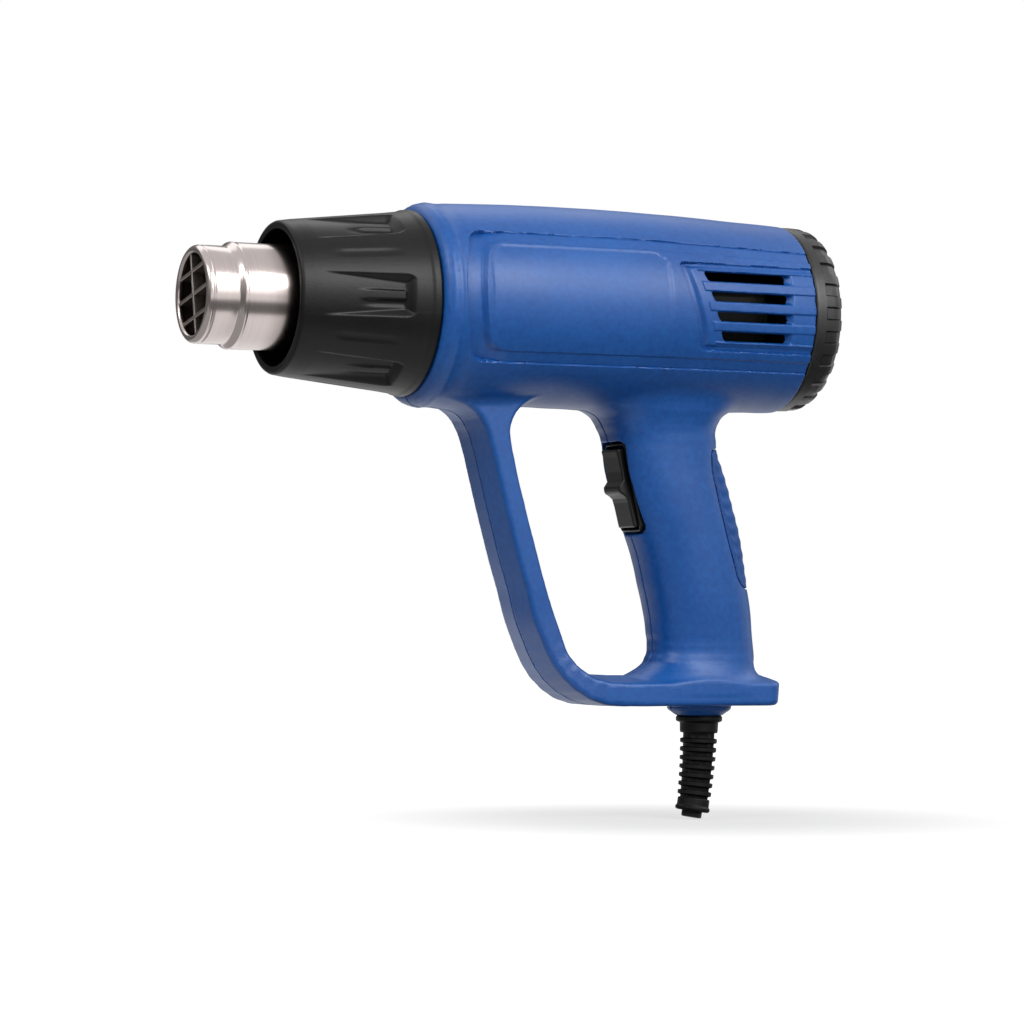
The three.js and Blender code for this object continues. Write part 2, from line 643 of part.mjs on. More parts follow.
// Switch body with its bezel, and the rocker
let switchBody = switchBlock(-bezelHalfL, bezelHalfL, -bezelThick, 0, bezelHalfW);
switchBody = switchBody.add(switchBlock(-bodyHalfL, bodyHalfL, -bodyDeep, -bezelThick / 2, bodyHalfW));
switchBody = switchBody.subtract(switchBlock(
  -rockerHalfL - rockerGap, rockerHalfL + rockerGap, -8, 5, rockerHalfW + gap));
const pinR = 1.4;
const rockerLine = [
  [-rockerHalfL, 2.2], [-2.9, 2.5], [-1.6, 4.3], [-0.9, 4.5], [0.5, 4.5], [1.2, 4.1], [3.2, 2.1],
  [rockerHalfL, 1.6], [rockerHalfL, 0.4], [rockerHalfL - 1.2, -1.0], [6.0, -4.4],
  [-6.0, -4.4], [1.2 - rockerHalfL, -1.0], [-rockerHalfL, 0.4],
];
let rocker = slab(rockerLine.map(([l, n]) => place(l, n)), -rockerHalfW, rockerHalfW);
const [pivotX, pivotZ] = place(0, -pivotDeep);
rocker = rocker.subtract(barY(pivotX, pivotZ, pinR + gap, -bezelHalfW, bezelHalfW, 14));
const rockerPin = barY(pivotX, pivotZ, pinR, -rockerHalfW - gap - 0.7, rockerHalfW + gap + 0.7, 14);
switchBody = switchBody.add(rockerPin.intersect(switchBlock(-9, 9, -9, 3, bezelHalfW)));

// Front guard sleeve: a cone with six tapering grip pockets
const sleeveRearX = frontX - gap;
const sleeveFrontX = sleeveRearX - sleeveLength;
const sleeveAt = (x) => mix(sleeveFrontR, sleeveRearR,
  THREE.MathUtils.clamp((x - sleeveFrontX) / (sleeveLength - sleeveRimX), 0, 1));
const spigotEnd = sleeveRearX + sleeveSpigotLength;
const webX = spigotEnd - 4.0;
let sleeve = turned([
  [sleeveFrontX, sleeveMouthR], [sleeveFrontX, sleeveFrontR - 0.9], [sleeveFrontX + 0.8, sleeveFrontR],
  [sleeveFrontX + sleeveLength / 2, sleeveAt(sleeveFrontX + sleeveLength / 2)],
  [sleeveRearX - sleeveRimX, sleeveRearR], [sleeveRearX - sleeveRimX * 0.6, sleeveRimR],
  [sleeveRearX, sleeveRimR + 0.1], [sleeveRearX, sleeveSpigotR], [spigotEnd, sleeveSpigotR],
  [spigotEnd, sleeveInnerR], [webX + webThick, sleeveInnerR], [webX + webThick, tubeR + gap],
  [webX, tubeR + gap], [webX, sleeveInnerR], [sleeveRearX - 9, sleeveInnerR],
  [sleeveFrontX + 1.5, sleeveMouthR + 0.4],
], 30);
const windowR = (sleeveInnerR - tubeR) / 2 - 1.2;
const windowAt = (sleeveInnerR + tubeR) / 2;
const pocketX = sleeveRearX - pocketBack;
for (let i = 0; i < pocketCount; i++) {
  const turn = (360 / pocketCount) * i;
  sleeve = sleeve.subtract(spinX(barX(-windowAt, 0, windowR, webX - 1, webX + webThick + 1, 6), turn));
  for (const side of [-1, 1]) {
    const rowAt = (x, deep, wide) => {
      const r = sleeveAt(x) - deep;
      const inner = (side * pocketRib) / 2;
      const outer = (side * wide) / 2;
      const corners = [[r, inner], [r, outer], [r + 6, outer], [r + 6, inner]];
      return corners.map(([y, z]) => new THREE.Vector3(x, -y, z));
    };
    const cut = loft([
      rowAt(pocketX, pocketDeep, pocketWide), rowAt(pocketX - pocketLength, -0.2, pocketWide)]);
    sleeve = sleeve.subtract(spinX(cut, turn));
  }
}

// Nozzle tube with rolled lip, step and rear flange
const tube = turned([
  [tipX, lipR], [tipX, lipR + 1.7], [tipX + 0.6, tipR - 0.2], [tipX + 1.7, tipR], [tipX + tipLength, tipR],
  [tipX + tipLength + stepX, tubeR], [tubeRearX - flangeThick, tubeR], [tubeRearX - flangeThick, flangeR],
  [tubeRearX, flangeR], [tubeRearX, tubeR - tubeWall], [tipX + tipLength + stepX, tubeR - tubeWall],
  [tipX + tipLength, tipR - tubeWall], [tipX + lipX + 0.5, tipR - tubeWall], [tipX + lipX, lipR],
], 28);

// Mouth grille: one upright strip and three cross strips, slotted together
let grille = box(tipX + 0.4, tipX + 0.4 + stripDeep, -stripThick / 2, stripThick / 2, -tubeR, tubeR);
for (const k of [-1, 0, 1]) {
  const z = k * stripPitch;
  grille = grille.add(box(
    tipX + 0.4, tipX + 0.4 + stripDeep, -tubeR, tubeR, z - stripThick / 2, z + stripThick / 2));
}
grille = spinX(grille, -stripTurn).intersect(barX(0, 0, lipR - 0.25, tipX - 1, tipX + 20, 24));

// Heater
const micaR = tubeR - tubeWall - 0.4;
const micaFrontX = tipX + tipLength + stepX + 3.5;
const ringX = tubeRearX - flangeThick - 2.0;
const mica = turned([
  [micaFrontX, micaR - sleeveMicaWall], [micaFrontX, micaR], [ringX - ringThick - gap, micaR],
  [ringX - ringThick - gap, micaR - sleeveMicaWall]], 24);
const insulator = turned([
  [ringX - ringThick, micaR - ringWall], [ringX - ringThick, micaR],
  [ringX, micaR], [ringX, micaR - ringWall]], 20)
  .add(box(ringX - ringThick, ringX, -micaR + 1, micaR - 1, -1.2, 1.2))
  .add(box(ringX - ringThick, ringX, -1.2, 1.2, -micaR + 1, micaR - 1));
const boardRearX = ringX - ringThick - gap;
const former = box(micaFrontX + 2, boardRearX, -boardThick / 2, boardThick / 2, -boardHalf, boardHalf)
  .add(box(micaFrontX + 2, boardRearX, -boardHalf, boardHalf, -boardThick / 2, boardThick / 2));
const coilR = boardHalf + gap + wireR;
const coilFrontX = micaFrontX + 5;
const coilRearX = boardRearX - 18;
const coilRings = [];
for (let i = 0; i <= coilTurns * 8; i++) {
  const t = (2 * Math.PI * i) / 8;
  const x = mix(coilFrontX, coilRearX, i / (coilTurns * 8));
  coilRings.push(Array.from({ length: 4 }, (_, j) => {
    const u = (Math.PI * j) / 2;
    const r = coilR + wireR * Math.cos(u);
    return new THREE.Vector3(x + wireR * Math.sin(u), r * Math.cos(t), r * Math.sin(t));
  }));
}
const coil = loft(coilRings);
const cutout = box(boardRearX - 12, boardRearX - 3, boardThick / 2 + gap, 5, boardThick / 2 + gap, 6.2);

// Motor
const canFrontX = motorX - motorLength;
const can = turned([
  [motorX, motorR - motorWall], [motorX, motorR], [canFrontX, motorR], [canFrontX, motorNoseR],
  [canFrontX - motorNose, motorNoseR], [canFrontX - motorNose, shaftR + gap],
  [canFrontX + 1.5, shaftR + gap], [canFrontX + 1.5, motorR - motorWall]], 20);
const bell = turned([
  [motorX + gap, shaftR + gap], [motorX + gap, motorR - 0.4],
  [motorX + gap + bellThick - 1.2, motorR - 0.4],
  [motorX + gap + bellThick, motorR - 3], [motorX + gap + bellThick, shaftR + gap]], 20);
const rotorRear = motorX - (motorLength - rotorLength) / 2;
let rotor = turned([
  [rotorRear, shaftR + 0.05], [rotorRear, rotorR], [rotorRear - rotorLength, rotorR],
  [rotorRear - rotorLength, shaftR + 0.05]], 20);
for (let i = 0; i < 5; i++) {
  rotor = rotor.subtract(spinX(
    box(rotorRear - rotorLength - 1, rotorRear + 1, rotorR - 6, rotorR + 2, -1.1, 1.1), 72 * i));
}
const magnetR = motorR - motorWall - 0.15;
const magnets = [-1, 1].map((side) => turned([
  [rotorRear, magnetR - magnetThick], [rotorRear, magnetR], [rotorRear - rotorLength, magnetR],
  [rotorRear - rotorLength, magnetR - magnetThick]], 20)
  .trimByPlane([0, 0, side], 5));

// Carrier plate between motor and fan
let carrier = turned([
  [carrierFrontX, motorNoseR + gap], [carrierFrontX, carrierR], [carrierRearX, carrierR],
  [carrierRearX, motorNoseR + gap]], 24);
const airR = (carrierR - motorR) / 2 - 2.2;
for (let i = 0; i < airHoles; i++) {
  const hole = barX(-(carrierR + motorR) / 2 + 0.4, 0, airR, carrierFrontX - 1, carrierRearX + 1, 8);
  carrier = carrier.subtract(spinX(hole, (360 / airHoles) * i));
}
carrier = carrier.subtract(box(
  carrierFrontX - 1, carrierRearX + 1, -9.6, 9.6, -carrierR - 1, -carrierR + 4.4));

// Shaft and fan
const shaftRearX = motorX + gap + bellThick + 1.2;
const shaft = barX(0, 0, shaftR, fanFrontX - 1, shaftRearX, 12);
let fan = turned([
  [fanFrontX, shaftR + 0.05], [fanFrontX, fanR], [fanFrontX + fanBack, fanR],
  [fanFrontX + fanBack, fanHubR], [fanRearX, fanHubR - 0.6], [fanRearX, shaftR + 0.05]], 20);
for (let i = 0; i < bladeCount; i++) {
  const edge = [0, 0.5, 1].map((t) => {
    const r = mix(fanHubR - 0.8, fanR - 0.2, t);
    const turn = 0.75 * t * t;
    return new THREE.Vector2(r * Math.cos(turn), r * Math.sin(turn));
  });
  const ring = (x) => [...edge.map((q) => [q.x, q.y - bladeThick / 2]),
    ...edge.slice().reverse().map((q) => [q.x, q.y + bladeThick / 2])]
    .map(([y, z]) => new THREE.Vector3(x, y, z));
  const outline = ring(0).map((q) => new THREE.Vector2(q.y, q.z));
  const geometry = new THREE.ExtrudeGeometry(
    new THREE.Shape(outline), { depth: fanDeep - fanBack, bevelEnabled: false });
  geometry.applyMatrix4(new THREE.Matrix4().makeBasis(
    new THREE.Vector3(0, 1, 0), new THREE.Vector3(0, 0, 1), new THREE.Vector3(1, 0, 0)));
  geometry.translate(fanFrontX + fanBack / 2, 0, 0);
  fan = fan.add(spinX(solid(geometry), (360 / bladeCount) * i));
}

// Rectifier board behind the motor
const pcbX = motorX + gap + bellThick + gap;
let board = turned([
  [pcbX, shaftR + 1.4], [pcbX, boardR], [pcbX + pcbThick, boardR], [pcbX + pcbThick, shaftR + 1.4]], 20);
for (let i = 0; i < 4; i++) {
  const diode = box(pcbX + pcbThick - 0.3, pcbX + pcbThick + 2.4, 6, 11, -1.5, 1.5);
  board = board.add(spinX(diode, 45 + 90 * i));
}

// Rear cap: a flat-ended cup with a notched rim
let cap = turned([
  [-capLength, capR - 0.1], [-capLength * 0.6, capR], [-3.2, capR - 0.3], [-1.0, mix(capR, capEndR, 0.5)],
  [0, capEndR], [0, 0], [-capFloor, 0], [-capFloor, capSpigotR - capSpigotWall],
  [-capLength - capSpigotLength, capSpigotR - capSpigotWall], [-capLength - capSpigotLength, capSpigotR],
  [-capLength, capSpigotR]], 24);
for (let i = 0; i < notchCount; i++) {
  const cut = box(-notchLength, 2, capR - notchDeep, capR + 3, -notchWide / 2, notchWide / 2);
  cap = cap.subtract(spinX(cut, (360 / notchCount) * i));
}

// Suppression capacitor beside the grip's rear wall
const capacitorZ = padTopZ - capacitorDrop;
const capacitorRow = gripAtZ(capacitorZ);
const capacitorX = capacitorRow.xc + capacitorRow.a - gripWall - 1.3;
const capacitor = box(
  capacitorX - capacitorDeep, capacitorX, -capacitorWide / 2, capacitorWide / 2,
  capacitorZ - capacitorTall, capacitorZ);

// Leads: cord to switch, cord to heater, switch to heater, switch to rectifier
const leadR = 0.9;
const [backX, backZ] = place(0, -bodyDeep - gap - 0.1);
const heaterX = boardRearX + ringThick + gap + 2.2;
const leadLive = wire([
  [cordX - 1.2, -1.2, cordTopZ + gap + 0.1], [cordX - 4, -2, cordTopZ + 8], [backX + 5, -2, backZ - 20.9],
  [backX + 6, -1, backZ - 8.9], [backX + 4.5, 0, backZ - 5], [backX + 1.0, 0, backZ - 1.5]], leadR, 10, 5);
const underZ = -boreAt(carrierRearX) + 2.3;
const leadNeutral = wire([
  [cordX + 1.2, 1.2, cordTopZ + gap + 0.1], [cordX + 2, 5, cordTopZ + 8], [gripTopX + 8, 8.2, backZ - 14.9],
  [gripTopX + 2, 8.2, gripTopZ - 6.4], [gripTopX - 5, 8, underZ - 3], [carrierRearX + 4, 7, underZ],
  [carrierFrontX - 8, 6, underZ], [fanFrontX - 3, 6, underZ + 1], [ringRearX + 6, 5, -18],
  [ringRearX - 0.6, 4.8, -11.5], [heaterX, 4.6, -8]], leadR, 20, 5);
const leadHeater = wire([
  [backX + 0.9, -3.5, backZ + 3], [backX + 4, -6, backZ + 8], [gripTopX - 3, -8, underZ - 4],
  [carrierRearX + 4, -7, underZ], [carrierFrontX - 8, -6, underZ], [fanFrontX - 3, -6, underZ + 1],
  [ringRearX + 6, -5, -18], [ringRearX - 0.6, -4.8, -11.5], [heaterX, -4.6, -8]], leadR, 16, 5);
const leadMotor = wire([
  [backX + 0.9, 3, backZ + 5], [backX + 5, 3, backZ + 9], [gripTopX + 6, 2, underZ - 2],
  [motorX - 12, 1, -motorR - 5], [motorX + 2, 0, -motorR - 4], [pcbX + 4, 0, -boardR - 1],
  [pcbX + pcbThick + 1.3, 0, -boardR + 4]], leadR, 14, 5);

const finishes = {
  blue: { color: 0x2a5cab, roughness: 0.5, metalness: 0 },
  softBlue: { color: 0x28549c, roughness: 0.75, metalness: 0 },
  black: { color: 0x1b1b1d, roughness: 0.55, metalness: 0 },
  rubber: { color: 0x18181a, roughness: 0.75, metalness: 0 },
  steel: { color: 0xc9c6c4, roughness: 0.28, metalness: 1 },
  screw: { color: 0x8c8c90, roughness: 0.4, metalness: 1 },
  mica: { color: 0xb9a98c, roughness: 0.8, metalness: 0 },
  nichrome: { color: 0x6f6a66, roughness: 0.5, metalness: 1 },
  ceramic: { color: 0xe6e1d6, roughness: 0.7, metalness: 0 },
  pcb: { color: 0x2f6b3d, roughness: 0.6, metalness: 0 },
  fanGrey: { color: 0x5a5d61, roughness: 0.6, metalness: 0 },
  magnet: { color: 0x3c3a3a, roughness: 0.7, metalness: 0.2 },
  capacitor: { color: 0xd7b53a, roughness: 0.5, metalness: 0 },
  brown: { color: 0x6a3d22, roughness: 0.6, metalness: 0 },
  wireBlue: { color: 0x2f62b5, roughness: 0.6, metalness: 0 },
  red: { color: 0xa52a22, roughness: 0.6, metalness: 0 },
};

// The largest body of a cut shape, without the slivers that coplanar cuts leave, lightly thinned
function wholeBody(shape) {
  const bodies = shape.simplify(facet).decompose();
  return bodies.reduce((a, b) => (a.volume() > b.volume() ? a : b));
}

const group = new THREE.Group();
function addPiece(name, shape, finish) {
  const mesh = wholeBody(shape).getMesh();
  const geometry = new THREE.BufferGeometry();
  geometry.setAttribute('position', new THREE.BufferAttribute(Float32Array.from(mesh.vertProperties), 3));
  geometry.setIndex(new THREE.BufferAttribute(Uint32Array.from(mesh.triVerts), 1));
  geometry.computeVertexNormals();
  const piece = new THREE.Mesh(geometry, new THREE.MeshStandardMaterial(finishes[finish]));
  piece.name = name;
  group.add(piece);
}

addPiece('housing_left', leftHalf, 'blue');
addPiece('housing_right', rightHalf, 'blue');
addPiece('grip_pad', gripPad, 'softBlue');
addPiece('front_guard', sleeve, 'black');
addPiece('nozzle_tube', tube, 'steel');
addPiece('nozzle_grille', grille, 'steel');
addPiece('rear_cap', cap, 'black');
addPiece('switch_body', switchBody, 'black');
addPiece('switch_rocker', rocker, 'black');
addPiece('strain_relief', boot, 'rubber');
addPiece('cord_tail', cordTail, 'rubber');
addPiece('cord_clamp', clampBar, 'black');
clampScrews.forEach((shape, i) => addPiece(`clamp_screw_${i + 1}`, shape, 'screw'));
screws.forEach((shape, i) => addPiece(`housing_screw_${i + 1}`, shape, 'screw'));
addPiece('mica_sleeve', mica, 'mica');
addPiece('heater_former', former, 'mica');
addPiece('heater_coil', coil, 'nichrome');
addPiece('heater_insulator', insulator, 'ceramic');
addPiece('thermal_cutout', cutout, 'steel');
addPiece('motor_can', can, 'steel');
addPiece('motor_end_bell', bell, 'black');
magnets.forEach((shape, i) => addPiece(`motor_magnet_${i + 1}`, shape, 'magnet'));
addPiece('motor_rotor', rotor, 'nichrome');
addPiece('motor_shaft', shaft, 'steel');
addPiece('fan_wheel', fan, 'fanGrey');
addPiece('motor_carrier', carrier, 'black');
addPiece('rectifier_board', board, 'pcb');
addPiece('capacitor', capacitor, 'capacitor');
addPiece('lead_live', leadLive, 'brown');
addPiece('lead_neutral', leadNeutral, 'wireBlue');
addPiece('lead_heater', leadHeater, 'red');
addPiece('lead_motor', leadMotor, 'red');

export default group;
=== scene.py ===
import math

import bpy
import numpy as np
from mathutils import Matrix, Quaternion, Vector


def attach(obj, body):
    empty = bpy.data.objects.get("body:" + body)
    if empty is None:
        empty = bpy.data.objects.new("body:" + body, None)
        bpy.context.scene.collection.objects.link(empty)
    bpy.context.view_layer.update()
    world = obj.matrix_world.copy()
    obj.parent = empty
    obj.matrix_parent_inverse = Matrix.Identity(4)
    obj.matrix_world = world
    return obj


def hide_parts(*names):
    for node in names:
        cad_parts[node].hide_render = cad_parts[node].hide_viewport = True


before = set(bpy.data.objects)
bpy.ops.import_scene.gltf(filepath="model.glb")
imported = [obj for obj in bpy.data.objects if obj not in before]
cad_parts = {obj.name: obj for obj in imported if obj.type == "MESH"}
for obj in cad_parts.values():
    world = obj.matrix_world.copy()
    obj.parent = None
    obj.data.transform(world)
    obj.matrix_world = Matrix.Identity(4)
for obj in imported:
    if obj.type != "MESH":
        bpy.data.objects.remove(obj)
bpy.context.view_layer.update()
scene = bpy.context.scene
scene.view_settings.view_transform = "Standard"
mm = 0.001

# Camera: the view of the photograph, metres
shot = {"place": (-0.65246, -1.15287, -0.10523), "ahead": (0.42493, 0.90478, 0.02851), "lens": 132.85,
        "roll": 0.0052}


def placeCamera():
    data = bpy.data.cameras.new("photoCamera")
    data.lens = shot["lens"]
    data.sensor_width = 36
    data.clip_end = 30
    camera = bpy.data.objects.new("photoCamera", data)
    camera.location = shot["place"]
    turn = Vector(shot["ahead"]).to_track_quat("-Z", "Y") @ Quaternion((0, 0, 1), shot["roll"])
    camera.rotation_euler = turn.to_euler()
    scene.collection.objects.link(camera)
    scene.camera = camera


placeCamera()


# A socket that can be added, multiplied and so on
class Wire:
    def __init__(self, nodes, socket):
        self.nodes = nodes
        self.socket = socket

    def math(self, operation, *values):
        inputs = dict(enumerate(values))
        return self.nodes.node("ShaderNodeMath", {"operation": operation}, inputs)

    def __add__(self, other):
        return self.math("ADD", self, other)

    __radd__ = __add__

    def __sub__(self, other):
        return self.math("SUBTRACT", self, other)

    def __rsub__(self, other):
        return self.math("SUBTRACT", other, self)

    def __mul__(self, other):
        return self.math("MULTIPLY", self, other)

    __rmul__ = __mul__

    def step(self, low, high):
        settings = {"interpolation_type": "SMOOTHSTEP"}
        inputs = {"Value": self, "From Min": low, "From Max": high}
        return self.nodes.node("ShaderNodeMapRange", settings, inputs)


# The nodes of a material, of the world or of a shape
class Nodes:
    def __init__(self, name, tree=None):
        if tree is None:
            self.material = bpy.data.materials.new(name)
            self.material.use_nodes = True
            tree = self.material.node_tree
        self.tree = tree
        self.tree.nodes.clear()

    def node(self, kind, settings=None, inputs=None, out=0):
        made = self.tree.nodes.new(kind)
        for key, value in (settings or {}).items():
            setattr(made, key, value)
        for key, value in (inputs or {}).items():
            for item in value if isinstance(value, list) else [value]:
                if isinstance(item, Wire):
                    self.tree.links.new(item.socket, made.inputs[key])
                else:
                    made.inputs[key].default_value = item
        return Wire(self, made.outputs[out]) if len(made.outputs) else None

    def place(self, scale=(1, 1, 1)):
        spot = self.node("ShaderNodeTexCoord", out="Object")
        return self.node("ShaderNodeMapping", {}, {"Vector": spot, "Scale": scale})

    def parts(self):
        split = self.tree.nodes.new("ShaderNodeSeparateXYZ")
        self.tree.links.new(self.place().socket, split.inputs[0])
        return [Wire(self, out) for out in split.outputs]

    def noise(self, where, scale, detail=2.0, rough=0.5):
        inputs = {"Vector": where, "Scale": scale, "Detail": detail, "Roughness": rough}
        return self.node("ShaderNodeTexNoise", {}, inputs)

    def mix(self, share, first, second):
        return self.node("ShaderNodeMix", {"data_type": "RGBA"}, {0: share, 6: first, 7: second}, out=2)

    def bump(self, height, strength, distance):
        return self.node(
            "ShaderNodeBump", {}, {"Strength": strength, "Distance": distance, "Height": height})

    def surface(self, **inputs):
        keys = {name.replace("_", " "): value for name, value in inputs.items()}
        shader = self.node("ShaderNodeBsdfPrincipled", {}, keys)
        self.node("ShaderNodeOutputMaterial", {}, {"Surface": shader})
        return self.material


def linear(red, green, blue):
    parts = []
    for value in (red, green, blue):
        value /= 255
        parts.append(value / 12.92 if value <= 0.04045 else ((value + 0.055) / 1.055) ** 2.4)
    return (*parts, 1)


# Moulded plastic: spark-eroded grain, faint flow shade and a little gloss change
plasticLook = ("deep", "pale", "rough", "grain", "bump", "shine")
plastics = {
    "bluePlastic": ((7, 70, 141), (13, 84, 159), 0.40, 1500, 0.40, 0.46),
    "blueSoft": ((12, 62, 126), (20, 76, 146), 0.5, 500, 0.8, 0.25),
    "blackPlastic": ((6, 6, 7), (13, 12, 13), 0.40, 1300, 0.40, 0.26),
    "capPlastic": ((22, 21, 22), (36, 34, 35), 0.38, 1300, 0.35, 0.48),
    "switchPlastic": ((10, 10, 10), (17, 16, 16), 0.36, 2600, 0.12, 0.32),
    "blackRubber": ((5, 5, 6), (10, 10, 11), 0.50, 2000, 0.20, 0.20),
    "fanPlastic": ((48, 50, 53), (60, 62, 64), 0.55, 2200, 0.15, 0.3),
    # near black inside the housing: partly the parts' own colour, partly painted shade seen through the vent
    # slots
    "innerBlack": ((14, 14, 15), (22, 22, 23), 0.55, 2200, 0.15, 0.2),
    "yellowPlastic": ((196, 160, 44), (212, 178, 62), 0.45, 1800, 0.08, 0.4),
    "magnetGrey": ((54, 53, 54), (72, 70, 70), 0.7, 1500, 0.3, 0.3),
    "micaSheet": ((168, 152, 122), (198, 184, 156), 0.6, 900, 0.3, 0.4),
    "ceramicWhite": ((214, 208, 196), (232, 228, 218), 0.6, 1700, 0.2, 0.4),
    "boardGreen": ((18, 48, 27), (25, 60, 34), 0.5, 900, 0.1, 0.3),
    "leadBrown": ((88, 52, 30), (104, 64, 38), 0.5, 1200, 0.1, 0.3),
    "leadBlue": ((40, 84, 164), (52, 98, 180), 0.5, 1200, 0.1, 0.3),
    "leadRed": ((150, 36, 30), (170, 48, 40), 0.5, 1200, 0.1, 0.3),
}


def plasticFinish(name):
    look = dict(zip(plasticLook, plastics[name]))
    finish = Nodes(name)
    where = finish.place()
    flow = finish.noise(where, 22, 3)
    grain = finish.noise(where, look["grain"], 2, 0.6)
    fleck = finish.noise(where, look["grain"] * 0.35, 2)
    tone = flow * 0.5 + fleck * 0.5
    colour = finish.mix(tone.step(0.3, 0.7), linear(*look["deep"]), linear(*look["pale"]))
    gloss = look["rough"] - 0.05 + flow.step(0.3, 0.7) * 0.06 + grain * 0.05
    skin = finish.bump(grain * 0.7 + fleck * 0.3, look["bump"], 0.00012)
    return finish.surface(Base_Color=colour, Roughness=gloss, Normal=skin, Specular_IOR_Level=look["shine"])


# Metals: turned or drawn lines along one axis, soft cloudy gloss
metalLook = ("deep", "pale", "rough", "lines")
metals = {
    "nozzleSteel": ((196, 185, 182), (204, 193, 190), 0.21, (3600, 40, 40)),
    "gridSteel": ((176, 166, 160), (204, 194, 188), 0.30, (400, 400, 400)),
    "screwSteel": ((112, 112, 116), (146, 146, 150), 0.34, (900, 900, 900)),
    # dark motor iron: partly its own colour, partly painted shade seen through the vent slots
    "motorIron": ((44, 44, 46), (60, 60, 61), 0.42, (300, 900, 900)),
    "heaterWire": ((92, 86, 82), (122, 114, 106), 0.45, (700, 700, 700)),
}
# Where the steel tube darkens, metres: darker inside the narrow and the wide bore, and painted shade and
# painted reflection towards the sleeve
tubeDarkening = {"soot": [((0.0152, 0.0156), (-0.2252, -0.2244)), ((0.01665, 0.01695), (-0.2150, -0.2120))],
          "tint": (-0.207, -0.196), "tintShare": 0.75}


def metalFinish(name):
    look = dict(zip(metalLook, metals[name]))
    finish = Nodes(name)
    lines = finish.noise(finish.place(look["lines"]), 1.0, 3, 0.6)
    cloud = finish.noise(finish.place(), 60, 2)
    tone = lines * 0.6 + cloud * 0.4
    colour = finish.mix(tone.step(0.3, 0.7), linear(*look["deep"]), linear(*look["pale"]))
    gloss = look["rough"] - 0.04 + lines * 0.06 + cloud * 0.04
    skin = finish.bump(lines, 0.02, 0.00003)
    if name == "nozzleSteel":
        x, y, z = finish.parts()
        square = y * y + z * z
        away = square.math("SQRT", square)
        # darker and rougher inside the narrow and the wide bore
        inside, deeper = [(1 - away.step(*reach)) * x.step(*ends) for reach, ends in tubeDarkening["soot"]]
        soot = inside.math("MAXIMUM", inside, deeper)
        # painted shade and painted reflection of the sleeve's dark inside, on the tube towards the sleeve
        colour = finish.mix(x.step(*tubeDarkening["tint"]) * tubeDarkening["tintShare"], colour, linear(96, 84, 80))
        colour = finish.mix(soot, colour, linear(34, 26, 22))
        gloss = gloss + soot * 0.4
    return finish.surface(Base_Color=colour, Metallic=1.0, Roughness=gloss, Normal=skin)


finishes = {name: plasticFinish(name) for name in plastics}
finishes.update({name: metalFinish(name) for name in metals})
print("finishes made:", len(finishes))


# Meshes
def meshFrom(name, verts, faces, finish, smooth=True):
    if isinstance(faces, np.ndarray):
        faces = [faces]
    elif not isinstance(faces[0], np.ndarray):
        sides = sorted({len(face) for face in faces})
        faces = [np.array([face for face in faces if len(face) == n]) for n in sides]
    mesh = bpy.data.meshes.new(name)
    verts = np.asarray(verts, np.float64)
    mesh.vertices.add(len(verts))
    mesh.vertices.foreach_set("co", (verts * mm).astype(np.float32).ravel())
    sizes = np.concatenate([np.full(len(group), group.shape[1], np.int32) for group in faces])
    mesh.loops.add(int(sizes.sum()))
    corners = np.concatenate([group.ravel() for group in faces])
    mesh.loops.foreach_set("vertex_index", corners.astype(np.int32))
    mesh.polygons.add(len(sizes))
    starts = np.concatenate([[0], np.cumsum(sizes)[:-1]]).astype(np.int32)
    mesh.polygons.foreach_set("loop_start", starts)
    mesh.polygons.foreach_set("use_smooth", np.full(len(sizes), smooth))
    mesh.update(calc_edges=True)
    mesh.validate()
    mesh.materials.append(finishes[finish])
    piece = bpy.data.objects.new(name, mesh)
    scene.collection.objects.link(piece)
    return piece


def sharpen(piece, degrees):
    piece.data.set_sharp_from_angle(angle=math.radians(degrees))


# Smooth line through points
def along(xs, ys, x):
    xs, ys = np.asarray(xs, float), np.asarray(ys, float)
    slope = np.gradient(ys, xs)
    i = np.clip(np.searchsorted(xs, x) - 1, 0, len(xs) - 2)
    span = xs[i + 1] - xs[i]
    t = np.clip((x - xs[i]) / span, 0, 1)
    back, ahead = ys[i] + t * span * slope[i], ys[i + 1] - (1 - t) * span * slope[i + 1]
    ease = t * t * (3 - 2 * t)
    return (1 - ease) * back + ease * ahead


def ramp(low, high, x):
    t = np.clip((x - low) / (high - low), 0, 1)
    return t * t * (3 - 2 * t)


# Two fields as one, or one taken from the other, rounded by k
def join(a, b, k):
    h = np.clip(0.5 + 0.5 * (b - a) / k, 0, 1)
    return b + (a - b) * h - k * h * (1 - h)


def cut(a, b, k):
    return -join(-a, -b, k)


